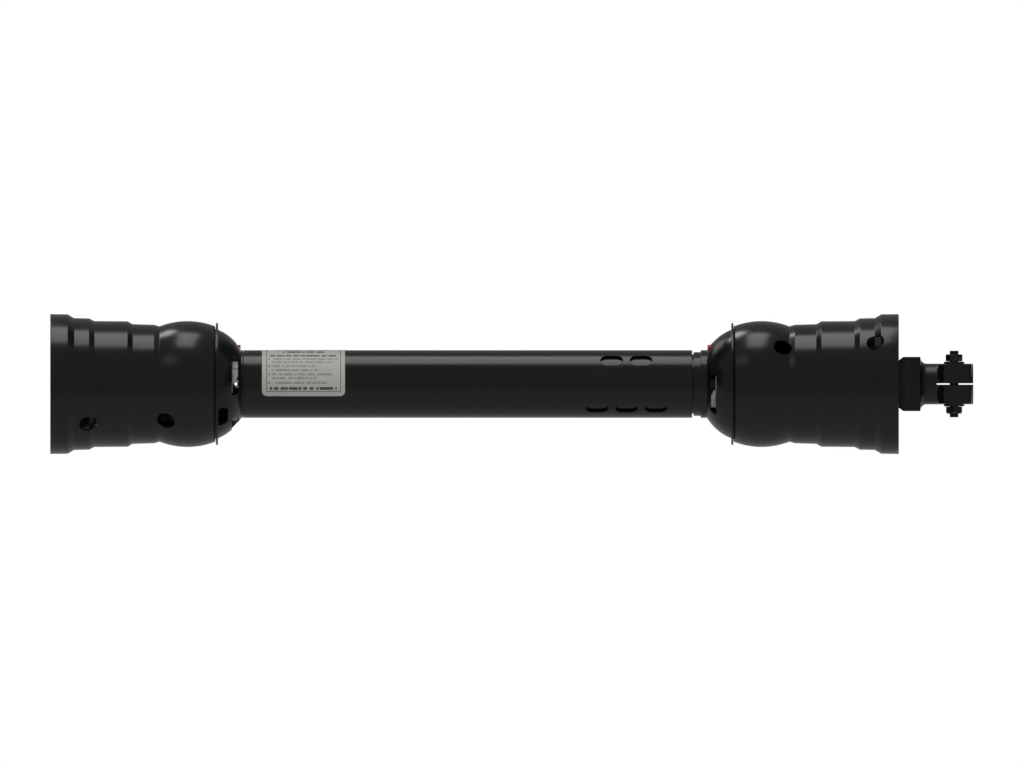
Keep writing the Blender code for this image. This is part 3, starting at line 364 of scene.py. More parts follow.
def arc(centre, radius, start, end, steps):
    """Points of an arc from one angle to another, in degrees."""
    turns = [radians(start + (end - start) * k / steps) for k in range(steps + 1)]
    return [(centre[0] + radius * cos(turn), centre[1] + radius * sin(turn)) for turn in turns]


def prism(outline, low, high, up="Z"):
    """Block with a flat outline, drawn from low to high along Z, or laid so that it is drawn along X or Y."""
    bm = bmesh.new()
    face = bm.faces.new([bm.verts.new((x, y, low)) for x, y in outline])
    drawn = bmesh.ops.extrude_face_region(bm, geom=[face])["geom"]
    top = [item for item in drawn if isinstance(item, bmesh.types.BMVert)]
    bmesh.ops.translate(bm, verts=top, vec=(0, 0, high - low))
    lay = {
        "X": Matrix(((0, 0, 1), (1, 0, 0), (0, 1, 0))),
        "Y": Matrix(((1, 0, 0), (0, 0, -1), (0, 1, 0))),
        "Z": Matrix.Identity(3),
    }
    bmesh.ops.rotate(bm, verts=bm.verts, cent=(0, 0, 0), matrix=lay[up])
    bmesh.ops.recalc_face_normals(bm, faces=bm.faces)
    return bm


def after_modifiers(item):
    """Shape of an object once its modifiers have run, which the object then leaves behind."""
    made = bmesh.new()
    made.from_object(item, bpy.context.evaluated_depsgraph_get())
    bpy.data.objects.remove(item)
    return made


def combined(bm, operation, tools):
    """Shape after a Boolean with each tool in turn."""
    blank = placed("tool", bm)
    helpers = [placed("tool", tool) for tool in tools]
    for helper in helpers:
        step = blank.modifiers.new("step", "BOOLEAN")
        step.operation = operation
        step.solver = "MANIFOLD"
        step.object = helper
    made = after_modifiers(blank)
    for helper in helpers:
        bpy.data.objects.remove(helper)
    return made


def finished(name, bm, finish, slot, body, stands_for=(), crease=35, even=False, lie=None):
    """Piece with its finish, which rides on a body and stands for solids of the frame."""
    if lie is not None:
        bmesh.ops.transform(bm, matrix=lie, verts=bm.verts)
    made = placed(name, bm)
    made.data.shade_smooth()
    made.data.set_sharp_from_angle(angle=radians(crease))
    made.data.materials.append(finish)
    if even:
        made.modifiers.new("even_normals", "WEIGHTED_NORMAL").keep_sharp = True
    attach(made, body)
    if stands_for:
        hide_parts(*stands_for)
    return made


bell_ledges = (
    (0.0000, 0.0910, 0.0008),
    (0.0218, 0.0907, 0.0016),
    (0.0300, 0.0858, 0.0016),
    (0.0495, 0.0854, 0.0016),
    (0.0563, 0.0819, 0.0014),
    (0.0995, 0.0816, 0.0016),
    (0.1060, 0.0779, 0.0014),
    (0.1339, 0.0771, 0.0016),
    (0.1410, 0.0751, 0.0012),
)
bell_wall = 0.0030
dome_end = 0.2135
dome_rise = 0.0068
bell_hole_radius = 0.0116
bell_holes = {
    "tractor": ((0.0493, -38), (0.0493, 142), (0.1505, -38), (0.1505, 142)),
    "implement": ((0.0295, 38.5), (0.0295, 218.5), (0.1496, 38), (0.1496, 218)),
}
polyethylene_black = (0.0020, 0.0020, 0.0021), (0.0040, 0.0040, 0.0042)
mould_grain = (14, 3, 0.08, 0, 0), (38, 1, 0, 0.0003, 0.25), (1500, 1, 0.02, 0.00004, 0.5)
guard_plastic = surface("guard_plastic_black", *polyethylene_black, 0.16, *mould_grain)


def bowed(start, end, rise, steps):
    """Points of an arc between two (x, radius) points, bowed outwards by a rise."""
    start, end = Vector(start), Vector(end)
    chord = end - start
    across = Vector((-chord.y, chord.x)).normalized()
    across *= 1 if across.y > 0 else -1
    radius = (chord.length**2 / 4 + rise**2) / (2 * rise)
    centre = (start + end) / 2 + across * (rise - radius)
    sweep = (start - centre).angle_signed(end - centre)
    spokes = [Matrix.Rotation(-sweep * k / steps, 2) @ (start - centre) for k in range(steps + 1)]
    return [(centre.x + spoke.x, centre.y + spoke.y, 0) for spoke in spokes]


def bell_outline(side):
    """Outline of the bell's wall: out along its ledges and dome, and back one wall inside."""
    ledges = [(depth + ledge_shift[side], radius, fillet) for depth, radius, fillet in bell_ledges]
    ledges[0] = (rim_reach[side], *bell_ledges[0][1:])
    neck = ledges[-1]
    dome = bowed(neck[:2], (dome_end + ledge_shift[side], neck[1]), dome_rise, 26)
    outer = [*ledges, *dome[1:]]
    inner = [(depth, radius - bell_wall, fillet) for depth, radius, fillet in reversed(outer)]
    return rounded(outer + inner)


for side in sides:
    shell = turned_from_rim(side, bell_outline(side), 160)
    punches = []
    for depth, angle in bell_holes[side]:
        middle = Vector((along(side, depth), 0, 0))
        punches.append(rod(middle + outward(angle) * 0.05, middle + outward(angle) * 0.12, bell_hole_radius))
    shell = combined(shell, "DIFFERENCE", punches)
    finished(f"{side}_bell_shell", shell, guard_plastic, "guard_plastic", f"{side}_guard", [f"{side}_bell"])

# Base cones
# A cone of moulded black nylon carries each bell on its flange and a guard tube on its nose.
# Windows round its neck take the bearing's lugs, and a grip hole gives a hold for turning it off.
flange = (0.2138, 0.2167, 0.0793)
flange_follow = 1.4
spigot_radius = 0.0718
cone_end = 0.2483
collar_end = {"tractor": 0.2506, "implement": 0.2565}
cone_tip = 0.2656
collar_radius = 0.0440
tube_seat_radius = 0.0415
tube_bore = 0.0390
window_depths = (0.2360, 0.2445)
window_turns = {"tractor": (12, 192, 282), "implement": (-15, 165)}
window_spread = {"tractor": 54, "implement": 58}
grip_hole_depths = {"tractor": (0.2182, 0.2312), "implement": (0.2171, 0.2301)}
grip_hole_turn = {"tractor": -39, "implement": 219}
grip_hole_spread = 24
grip_hole_radius = 0.0640
bearing_seat = (0.2262, 0.2448, 0.0463)
lining_radius = 0.0493
neck_radius = 0.0470
button_depth = 0.2445
button_turn = {"tractor": 100.5, "implement": 79.5}
button_size = (0.0060, 0.0140, 0.0084)
button_top = 0.0504
button_play = 0.0006
nylon_shades = (0.0014, 0.0014, 0.0015), (0.0030, 0.0030, 0.0032)
nylon_black = surface("cone_nylon_black", *nylon_shades, 0.16, *mould_grain)


def eased(bm, edges, width, segments, clamp=False):
    """Rounds over some edges of a shape."""
    how = {"affect": "EDGES", "profile": 0.5, "material": -1, "clamp_overlap": clamp}
    bmesh.ops.bevel(bm, geom=edges, offset=width, segments=segments, **how)


def sliced(bm, half, slices):
    """Cuts a shape across its width into equal slices, so that it can bend."""
    for k in range(1, slices):
        everything = bm.verts[:] + bm.edges[:] + bm.faces[:]
        plane = {"plane_co": (0, half * (2 * k / slices - 1), 0), "plane_no": (0, 1, 0)}
        bmesh.ops.bisect_plane(bm, geom=everything, dist=1e-7, **plane)


def slab(near, far, width, low, high, corner=0.0, segments=4, pitch=0.0016):
    """Flat block from near to far along the shaft, corners rounded, and sliced at a pitch if it has one."""
    bm = bmesh.new()
    bmesh.ops.create_cube(bm, size=1)
    bmesh.ops.scale(bm, verts=bm.verts, vec=(abs(far - near), width, high - low))
    bmesh.ops.translate(bm, verts=bm.verts, vec=((near + far) / 2, 0, (low + high) / 2))
    if corner:
        rise = (high - low) / 2
        upright = [edge for edge in bm.edges if abs(edge.verts[0].co.z - edge.verts[1].co.z) > rise]
        eased(bm, upright, corner, segments)
    if pitch:
        sliced(bm, width / 2, ceil(width / pitch))
    return bm


def bent(bm, radius, angle):
    """Flat shape wrapped round the shaft: its width goes round at a radius, and its height is the way out."""
    for corner in bm.verts:
        turn = radians(angle) + corner.co.y / radius
        corner.co = (corner.co.x, -corner.co.z * cos(turn), corner.co.z * sin(turn))
    return bm


def facing(bm, angle):
    """Shape made top up, turned about the shaft so that its top points at an angle."""
    swing = Matrix.Rotation(radians(90 - angle), 3, "X")
    bmesh.ops.rotate(bm, verts=bm.verts, cent=(0, 0, 0), matrix=swing)
    return bm


def softened(bm, width, least=50, segments=2):
    """Shape with its sharp edges rounded over."""
    bmesh.ops.remove_doubles(bm, verts=bm.verts, dist=1e-5)
    bmesh.ops.dissolve_limit(bm, angle_limit=radians(0.3), verts=bm.verts, edges=bm.edges)
    sharp = [edge for edge in bm.edges if edge.is_manifold and edge.calc_face_angle() > radians(least)]
    eased(bm, sharp, width, segments, clamp=True)
    return bm


def cone_outline(side):
    """Outline of the cone's wall: spigot, flange, dome, collar and tube seat, then back inside."""
    near, far = (depth + ledge_shift[side] * flange_follow for depth in flange[:2])
    seat_start, seat_end, seat_radius = bearing_seat
    end = collar_end[side]
    spigot_lip = (0.2058, 0.0688, 0.0006), (0.2058, 0.0732, 0.0008), (0.2078, 0.0732, 0.0008)
    spigot = (0.2098, spigot_radius, 0.0006), (near, spigot_radius, 0)
    rim = (near, flange[2], 0.0006), (far, flange[2], 0.0006)
    dome = bowed((far, 0.0707), (cone_end, collar_radius), 0.0034, 20)
    nose = (end, collar_radius, 0.0007), (end, tube_seat_radius, 0)
    tip = (cone_tip, tube_seat_radius, 0.0006), (cone_tip, tube_bore, 0.0006)
    seat = (seat_end, tube_bore, 0), (seat_end, seat_radius, 0.0004), (seat_start, seat_radius, 0.0004)
    lining = [(seat_start, lining_radius, 0), *bowed((0.2390, lining_radius), (near, 0.0688), 0.0016, 14)]
    return rounded([*spigot_lip, *spigot, *rim, *dome, *nose, *tip, *seat, *lining])


def window(side, angle):
    """Tool for one window in the cone's neck."""
    width = radians(window_spread[side]) * neck_radius
    near, far = (along(side, depth) for depth in window_depths)
    return bent(slab(near, far, width, tube_bore, 0.0700, corner=0.0016), neck_radius, angle)


for side in sides:
    cone = turned_from_rim(side, cone_outline(side), 144)
    tools = [window(side, angle) for angle in window_turns[side]]
    near, far = (along(side, depth) for depth in grip_hole_depths[side])
    grip_width = radians(grip_hole_spread) * grip_hole_radius
    grip = slab(near, far, grip_width, 0.0523, flange[2], corner=0.0038, segments=6)
    tools.append(bent(grip, grip_hole_radius, grip_hole_turn[side]))
    middle = along(side, button_depth)
    length, width = (size + button_play for size in button_size[:2])
    pocket = slab(middle - length / 2, middle + length / 2, width, 0.0390, 0.0534, corner=0.0012, pitch=None)
    tools.append(facing(pocket, button_turn[side]))
    cone = softened(combined(cone, "DIFFERENCE", tools), 0.0004)
    stands_for = [f"{side}_base_cone"]
    finished(f"{side}_cone_shell", cone, nylon_black, "guard_plastic", f"{side}_guard", stands_for, even=True)

# Guard bearings
# A split ring of light grey nylon runs in a groove of each tube yoke, greased and replaced when worn.
# Its lugs turn into the cone's windows like a bayonet, each with a slanted lead-in.
bearing_depths = (0.2265, 0.2370)
bearing_radius = 0.0460
bearing_lip = (0.2271, 0.2346, 0.0293)
journal_radius = 0.0323
lug_depths = {"tractor": (0.2363, 0.2443), "implement": (0.2363, 0.2432)}
lug_lead_depth = 0.2395
lug_radius = 0.0480
lug_foot = 0.0390
lug_spread = {"tractor": 38.4, "implement": 28.8}
lug_turn = {"tractor": 7.2, "implement": -10.4}
lug_groove = (24.3, 0.0012)
split_width = 0.0020
split_turn = {"tractor": 145, "implement": 35}


def lug(side, angle):
    """Bayonet lug, bent round the ring, its lead-in on the side that the cone turns onto."""
    onto = 1 if side == "tractor" else -1
    half = radians(lug_spread[side] / 2) * neck_radius
    near, far = (along(side, depth) for depth in lug_depths[side])
    lead = along(side, lug_lead_depth)
    outline = ((near, -half * onto), (near, half * onto), (far, half * onto), (far, -half / 3 * onto))
    bm = prism([*outline, (lead, -half * onto)], lug_foot, lug_radius)
    outer = [edge for edge in bm.edges if max(corner.co.z for corner in edge.verts) > lug_foot + 0.0001]
    eased(bm, outer, 0.0007, 3)
    sliced(bm, half, 12)
    return bent(bm, neck_radius, angle)


nylon_grey = (0.200, 0.205, 0.196), (0.300, 0.305, 0.292)
nylon_grain = (90, 3, 0, 0, 0), (2600, 1, 0.16, 0.00002, 0.5)
bearing_nylon = surface("bearing_nylon_grey", *nylon_grey, 0.42, *nylon_grain)
start, end = bearing_depths
lip_start, lip_end, lip_radius = bearing_lip
ring_line = [(start, journal_radius, 0.0004), (start, bearing_radius, 0.0006), (end, bearing_radius, 0.0006)]
ring_line += [(end, journal_radius, 0.0004), (lip_end, journal_radius, 0), (lip_end, lip_radius, 0.0004)]
ring_line += [(lip_start, lip_radius, 0.0004), (lip_start, journal_radius, 0)]
for side in sides:
    lugs = [lug(side, angle + lug_turn[side]) for angle in window_turns[side]]
    ring = combined(turned_from_rim(side, rounded(ring_line, 3), 120), "UNION", lugs)
    near, far = (along(side, depth) for depth in (start - 0.002, lug_depths[side][1] + 0.002))
    cuts = [facing(slab(near, far, split_width, 0.0200, 0.0600, pitch=None), split_turn[side])]
    if side == "tractor":
        for angle in window_turns[side]:
            turn = angle - window_turns[side][0] + lug_groove[0]
            cuts.append(facing(slab(near, far, lug_groove[1], 0.0466, 0.0600, pitch=None), turn))
    ring = combined(ring, "DIFFERENCE", cuts)
    stands_for = [f"{side}_guard_bearing"]
    finished(f"{side}_bearing_ring", ring, bearing_nylon, "bearing_nylon", f"{side}_guard", stands_for)

# Lock buttons
# A red button of moulded plastic locks each cone on its bearing, and is pressed in to let it turn.
# It slides in a pocket of the cone, with three grip grooves across its top.
button_shades = (0.27, 0.004, 0.010), (0.40, 0.008, 0.014)
button_grain = (220, 2, 0, 0, 0), (1900, 1, 0.12, 0.00002, 0.4)
button_red = surface("button_red", *button_shades, 0.30, *button_grain)
for side in sides:
    length, width, height = button_size
    middle = along(side, button_depth)
    ends = middle - length / 2, middle + length / 2
    cap = slab(*ends, width, button_top - height, button_top, corner=0.0010, pitch=None)
    grooves = []
    for shift in (-0.0028, 0, 0.0028):
        near, far = ((middle + reach, shift, button_top + 0.0002) for reach in (-length, length))
        grooves.append(rod(near, far, 0.0006, 16))
    cap = facing(softened(combined(cap, "DIFFERENCE", grooves), 0.0003, 40), button_turn[side])
    button = f"{side}_lock_button"
    finished(f"{side}_button_cap", cap, button_red, "button_plastic", button, [button])

# Guard tubes
# Two extruded tubes of black polyethylene, 2.2 mm thick, slide in each other over the steel tubes.
# The outer one has punched slots near its open end, and both are pushed onto the cones' noses.
outer_tube = (along("tractor", 0.2509), 0.2345, 0.0440)
inner_tube_line = ((-0.2895, 0.0404), (0.2270, 0.0404), (0.2310, 0.0387))
inner_tube_line += ((along("implement", 0.2475), 0.0387),)
tube_wall = 0.0022
slot_length = 0.0290
slot_width = 0.0180
slot_places = ((45, (0.1300, 0.1681)), (135, (0.1300, 0.1681)), (225, (0.1109, 0.1490, 0.1871)))
slot_rows = (*slot_places, (315, slot_places[-1][1]))
tube_grain = (11, 3, 0.06, 0, 0), (1, 4, 0.04, 0.000015, 0.5, (1.5, 420, 420)), (1700, 1, 0, 0.00003, 0.5)
tube_plastic = surface("guard_tube_black", *polyethylene_black, 0.15, *tube_grain)


def guard_tube(*line):
    """Tube along a line of (x, radius) points, with slightly rounded ends."""
    inside = [(x, radius - tube_wall) for x, radius in reversed(line)]
    return turned(rounded([(x, radius, 0.0005) for x, radius in (*line, *inside)], 3), 160)


punches = []
for angle, places in slot_rows:
    for x in places:
        ends = (x - slot_length / 2, x + slot_length / 2)
        round_end = slot_width / 2 - 1e-5
        punch = slab(*ends, slot_width, 0.0250, 0.0600, corner=round_end, segments=16, pitch=None)
        punches.append(facing(punch, angle))
outer_tube_line = (outer_tube[0], outer_tube[2]), (outer_tube[1], outer_tube[2])
outer = softened(combined(guard_tube(*outer_tube_line), "DIFFERENCE", punches), 0.0003)
inner = guard_tube(*inner_tube_line)
for place, tube, body in (("outer", outer, "tractor_guard"), ("inner", inner, "implement_guard")):
    stands_for = [f"{place}_guard_tube"]
    finished(f"{place}_tube_skin", tube, tube_plastic, "guard_plastic", body, stands_for, even=True)

# Label plate
# A printed plastic film is glued round the outer tube, with rounded corners and a thin border.
# It carries plain bars where the real one has its rows of print.
label_ends = (-0.3247, -0.2168)
label_turns = (-21, 104)
label_corner = 0.0068
label_length = label_ends[1] - label_ends[0]
label_width = radians(label_turns[1] - label_turns[0]) * outer_tube[2]
print_rows = (
    (-7.6, 1.9, 9.9, 97.3),
    (2.0, 1.3, 13.1, 85.2),
    (10.0, 1.3, 13.1, 70.3),
    (16.5, 1.3, 13.1, 92.4),
    (24.0, 1.3, 13.1, 72.9),
    (32.0, 1.3, 13.1, 69.0),
    (40.0, 1.3, 13.1, 95.0),
    (47.0, 1.3, 13.1, 98.9),
    (56.0, 1.6, 10.5, 96.3),
    (70.0, 2.6, 27.0, 80.7),
    (84.0, 2.6, 20.0, 88.0),
)
bold_from = 1.5
faint_ink = 0.5
bullet_turns = (2.0, 16.5, 32.0, 47.0)
bullet_place = 9.2
bullet_square = 1.2
border_width = 0.9
millimetres = 1000


def printed_film():
    """Grey-green film with a thin dark border, rows of plain broken bars and small round marks."""
    film = Finish("label_print")
    flat = film.node("ShaderNodeUVMap", {"uv_map": "print"})
    across = film.part(flat, 0) * (label_length * millimetres)
    up = film.part(flat, 1) * (label_width * millimetres)

    def within(value, low, high):
        return value.distance((low + high) / 2) < (high - low) / 2

    def frame_of(left, right, low, high):
        return within(across, left, right) * within(up, low, high)

    def height_at(turn):
        return radians(turn - label_turns[0]) * outer_tube[2] * millimetres

    ink = None
    for k, (turn, half_height, left, right) in enumerate(print_rows):
        row = height_at(turn)
        bar = within(up, row - half_height, row + half_height) * within(across, left, right)
        breaks = {"W": across + k * 53.7, "Scale": 0.24, "Detail": 1.0}
        spacing = film.node("ShaderNodeTexNoise", {"noise_dimensions": "1D"}, breaks)
        bar = bar * (spacing > 0.43) * (1.0 if half_height > bold_from else faint_ink)
        ink = bar if ink is None else ink.at_least(bar)
    for turn in bullet_turns:
        beside = across.distance(bullet_place)
        above = up.distance(height_at(turn))
        ink = ink.at_least(beside * beside + above * above < bullet_square)
    edges = (5.7, label_length * millimetres - 5.3, 5.8, label_width * millimetres - 6)
    inner = [edge + border_width * sense for edge, sense in zip(edges, (1, -1, 1, -1))]
    ink = ink.at_least(frame_of(*edges) - frame_of(*inner))
    fibre = film.cloud(900, 2)
    worn = film.cloud(60, 3)
    paper = film.blend(worn, (0.295, 0.303, 0.277), (0.365, 0.373, 0.343))
    base = film.blend(ink * (0.75 + fibre * 0.25), paper, (0.020, 0.021, 0.021))
    return film.shade(
        base_color=base,
        roughness=0.44 + worn * 0.10 + ink * 0.06,
        normal=film.bump(fibre, 0.00001, 0.3),
    )


film_low, film_high = outer_tube[2] - 0.0001, outer_tube[2] + 0.00018
label = slab(*label_ends, label_width, film_low, film_high, corner=label_corner, segments=8, pitch=0.0012)
print_map = label.loops.layers.uv.new("print")
for face in label.faces:
    for corner in face.loops:
        place = corner.vert.co
        corner[print_map].uv = ((place.x - label_ends[0]) / label_length, place.y / label_width + 0.5)
label = bent(label, outer_tube[2], sum(label_turns) / 2)
finished("label_film", label, printed_film(), "guard_plastic", "tractor_guard", crease=60)

# Forged yokes
# Four forks are forged in steel and painted black, their ears bored for the cross's bearing cups.
# The two inside the guard have a long hub, turned to carry the guard bearing and pinned on a profile tube.
cross_middle = {side: (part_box(f"{side}_cross")[0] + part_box(f"{side}_cross")[1]) / 2 for side in sides}
quarter_roll = Matrix.Rotation(pi / 2, 4, "X")
half_turn = Matrix.Rotation(pi, 4, "Z")
lies = {
    "tractor_tube_yoke": Matrix.Translation(cross_middle["tractor"]) @ quarter_roll,
    "implement_tube_yoke": Matrix.Translation(cross_middle["implement"]) @ half_turn @ quarter_roll,
    "tractor_yoke": Matrix.Translation(cross_middle["tractor"]) @ half_turn,
    "implement_yoke": Matrix.Translation(cross_middle["implement"]),
}
ear_radius = 0.0250
ear_inner = 0.0350
ear_outer = 0.0500
throat_reach = 0.0460
neck_reach = 0.0500
base_reach = 0.0645
base_half_width = 0.0353
cup_radius = 0.0151
cup_face = 0.0460
play = 0.0003
tube_yoke_length = {"tractor": 0.1360, "implement": 0.2160}
groove_reach = {"tractor": (0.1108, 0.1189), "implement": (0.1908, 0.1989)}
pin_reach = {"tractor": 0.1250, "implement": 0.2050}
hub_radius = 0.0320
waist_radius = 0.0290
lobe_middle = 0.0225
lobe_rise = 0.0022
socket_depth = 0.0600
pin_radius = 0.0045
pin_axis = {"tractor": (0, 0, 1), "implement": (0, 1, 0)}


def fork_blank(base=base_reach):
    """Two-eared fork, its pins along Y, as the crossing of its plan and its side outline."""
    ear = [(-ear_radius, ear_inner), *arc((-0.013, 0.038), 0.0120, 180, 90, 8)]
    ear += [(neck_reach, ear_outer), (base, 0.0400)]
    throat = arc((0.026, 0.015), 0.0200, 0, 90, 12)
    plan = ear + [(x, -y) for x, y in reversed(ear)] + [(x, -y) for x, y in reversed(throat)] + throat
    cheek = ((0.0370, 0.0306), (0.0430, base_half_width), (base, base_half_width))
    side_outline = arc((0, 0), ear_radius, 262, 98, 32) + list(cheek)
    side_outline += [(x, -z) for x, z in reversed(cheek)]
    return combined(prism(plan, -0.06, 0.06), "INTERSECT", [prism(side_outline, -0.06, 0.06, "Y")])


def ear_bores():
    """Tool for both cup bores, with the grooves of their snap rings and a small lead-in."""
    bore = cup_radius + play
    half = [(0.04615, bore), (0.04615, 0.0165), (0.04825, 0.0165), (0.04825, bore)]
    half += [(0.0494, bore), (0.0506, 0.0166), (0.0600, 0.0166)]
    outline = [(-x, r) for x, r in reversed(half)] + half
    tool = turned([(outline[0][0], 0), *outline, (outline[-1][0], 0)], 96)
    bmesh.ops.rotate(tool, verts=tool.verts, cent=(0, 0, 0), matrix=Matrix.Rotation(pi / 2, 3, "Z"))
    return tool


def forged(parts, cuts, grain, rounds):
    """Union of rough shapes, its edges run together as by forging, then cut to its machined faces."""
    blank = placed("tool", combined(parts[0], "UNION", parts[1:]))
    melt = blank.modifiers.new("melt", "REMESH")
    melt.mode = "VOXEL"
    melt.voxel_size = grain
    ease = blank.modifiers.new("ease", "SMOOTH")
    ease.factor = 0.5
    ease.iterations = rounds
    return combined(after_modifiers(blank), "DIFFERENCE", cuts)


def lobed(offset, points=96):
    """Three-lobed outline of the profile tubes, moved out or in by an offset."""
    outline = []
    for k in range(points):
        turn = tau * k / points
        radius = lobe_middle + lobe_rise * cos(3 * turn)
        slope = -3 * lobe_rise * sin(3 * turn)
        away = (radius * cos(turn) + slope * sin(turn), radius * sin(turn) - slope * cos(turn))
        way = Vector(away).normalized()
        outline.append((radius * cos(turn) + offset * way.x, radius * sin(turn) + offset * way.y))
    return outline


profile_offset = {"tractor": 0.0, "implement": -0.0045}
enamel_black = (0.0018, 0.0018, 0.0019), (0.0042, 0.0042, 0.0043)
enamel_waves = (24, 4, 0.14, 0, 0), (75, 2, 0, 0.0004, 0.3), (850, 1, 0.04, 0.00003, 0.5)
forging_paint = surface("yoke_paint_black", *enamel_black, 0.20, *enamel_waves)


def painted_fork(name, shape, body, yoke):
    """Finished fork of a yoke, laid at its cross."""
    finished(name, shape, forging_paint, "yoke_paint", body, [yoke], lie=lies[yoke])


for side in sides:
    length = tube_yoke_length[side]
    hub = ((neck_reach, 0), (neck_reach, 0.0335), (base_reach, 0.0335), (0.0710, waist_radius))
    hub += ((length - 0.046, waist_radius), (length - 0.043, hub_radius), (length, hub_radius), (length, 0))
    near, far = groove_reach[side]
    groove = turned([(near, waist_radius), (near, 0.0400), (far, 0.0400), (far, waist_radius)], 96)
    socket = prism(lobed(profile_offset[side] + play), length - socket_depth, length + 0.01, "X")
    reach = Vector((pin_reach[side], 0, 0))
    across = Vector(pin_axis[side]) * 0.05
    pin_hole = rod(reach - across, reach + across, pin_radius + play, 32)
    forging = forged([fork_blank(), turned(hub, 96)], [ear_bores(), groove, socket, pin_hole], 0.0016, 4)
    painted_fork(f"{side}_inner_forging", forging, f"{side}_shaft", f"{side}_tube_yoke")

# Clamp yoke
# The implement's yoke has a hub with six splines, slit through so that two bolts can close it on the shaft.
# Its lug block and bolt seats are forged with it, and its end, bore, slit and seats are machined.
clamp_length = 0.1340
clamp_base_reach = 0.0655
clamp_hub_radius = 0.0265
bolt_reach = 0.1090
bolt_offset = 0.0207
seat_height = 0.0291
seat_radius = 0.0133
lug_half_width = 0.0310
slit_start = 0.0865
slit_half = 0.0009
spline_minor = 0.0150
spline_major = 0.0176


def spline_bore(start, end):
    """Tool for a bore with six spline grooves."""
    outline = []
    foot = 17.26
    for k in range(6):
        middle = 60 * k
        outline.append(polar(spline_minor, middle - foot))
        outline += [polar(spline_major, middle + a) for a in (-14.64, -7.3, 0, 7.3, 14.64)]
        outline += [polar(spline_minor, middle + foot + (60 - 2 * foot) * s / 4) for s in range(4)]
    return prism(outline, start, end, "X")


def bolt_bar(y, low, high, radius, segments=64):
    """Upright bar on a clamp bolt's axis."""
    return rod((bolt_reach, y, low), (bolt_reach, y, high), radius, segments)


hub = ((neck_reach, 0), (neck_reach, 0.0312), (clamp_base_reach, 0.0312), (0.0704, clamp_hub_radius))
hub += ((clamp_length - 0.001, clamp_hub_radius), (clamp_length, clamp_hub_radius - 0.001), (clamp_length, 0))
block = [(0.0887, 0.0150), (0.0887, 0.0260), (0.0965, lug_half_width), (0.1274, lug_half_width)]
block += [(0.1318, 0.0276), (0.1318, 0.0150)]
block = [*block, *((x, -y) for x, y in reversed(block))]
rough = [fork_blank(clamp_base_reach), turned(hub, 128), prism(block, -0.0255, 0.0255)]
cuts = [ear_bores(), spline_bore(throat_reach - 0.01, clamp_length + 0.01)]
for y in (-bolt_offset, bolt_offset):
    rough.append(bolt_bar(y, -seat_height - 0.001, seat_height + 0.001, seat_radius))
    cuts.append(bolt_bar(y, -0.05, 0.05, 0.0063, 48))
    cuts += [bolt_bar(y, up * seat_height, up * 0.05, seat_radius + 0.003) for up in (-1, 1)]
    side_face = slab(0.0870, clamp_length + 0.01, 0.03, -0.06, 0.06, pitch=None)
    shift = copysign(lug_half_width + 0.015, y)
    bmesh.ops.translate(side_face, verts=side_face.verts, vec=(0, shift, 0))
    cuts.append(side_face)
cuts.append(slab(slit_start, clamp_length + 0.01, 0.12, -slit_half, slit_half, pitch=None))
for angle in (0, 180):
    cuts.append(facing(slab(0.0682, 0.0708, 0.0290, 0.0205, 0.0400, corner=0.0006, pitch=None), angle))
painted_fork("implement_outer_forging", forged(rough, cuts, 0.0011, 5), "implement_yoke", "implement_yoke")

# Clamp bolts and nuts
# Two M12 bolts close the hub, one each way up, with their nuts on the thread's end.
# They are black-oxide steel, forged heads chamfered at their corners, and rolled threads.
across_flats = 0.0190
thread_radius = 0.0060
thread_pitch = 0.00175
thread_depth = 0.00060
head_flats = 0.0208
head_height = 0.0080
nut_height = 0.0092
bolt_end = 0.0433
bolt_gap = seat_height + play


def hexagon(low, high, turn, chamfers, flats=across_flats):
    """Hexagon bar along X, its corners chamfered at one end or both."""
    corner = flats / 2 / cos(pi / 6)
    outline = arc((0, 0), corner, turn, turn + 300, 5)
    near = flats / 2 - 0.0003
    drop = (corner - near) * 0.58
    start = [(low, near), (low + drop, corner)] if "low" in chamfers else [(low, corner)]
    end = [(high - drop, corner), (high, near)] if "high" in chamfers else [(high, corner)]
    rim = turned([(low, 0), *start, *end, (high, 0)], 96)
    return combined(prism(outline, low, high, "X"), "INTERSECT", [rim])


def threaded(low, high):
    """Threaded rod along X, with a chamfer at its far end."""
    rings = ceil((high - low) / thread_pitch * 8)
    steps = [low + (high - low) * k / rings for k in range(rings + 1)]
    bm = turned([(low, 0), *((x, thread_radius) for x in steps), (high, 0)], 48)
    for corner in bm.verts:
        reach = sqrt(corner.co.y**2 + corner.co.z**2)
        if reach < thread_radius / 2:
            continue
        phase = (corner.co.x / thread_pitch - atan2(corner.co.z, corner.co.y) / tau) % 1
        groove = thread_depth * abs(2 * phase - 1)
        wanted = thread_radius - max(groove, corner.co.x - high + 0.0009)
        corner.co.y *= wanted / reach
        corner.co.z *= wanted / reach
    return bm


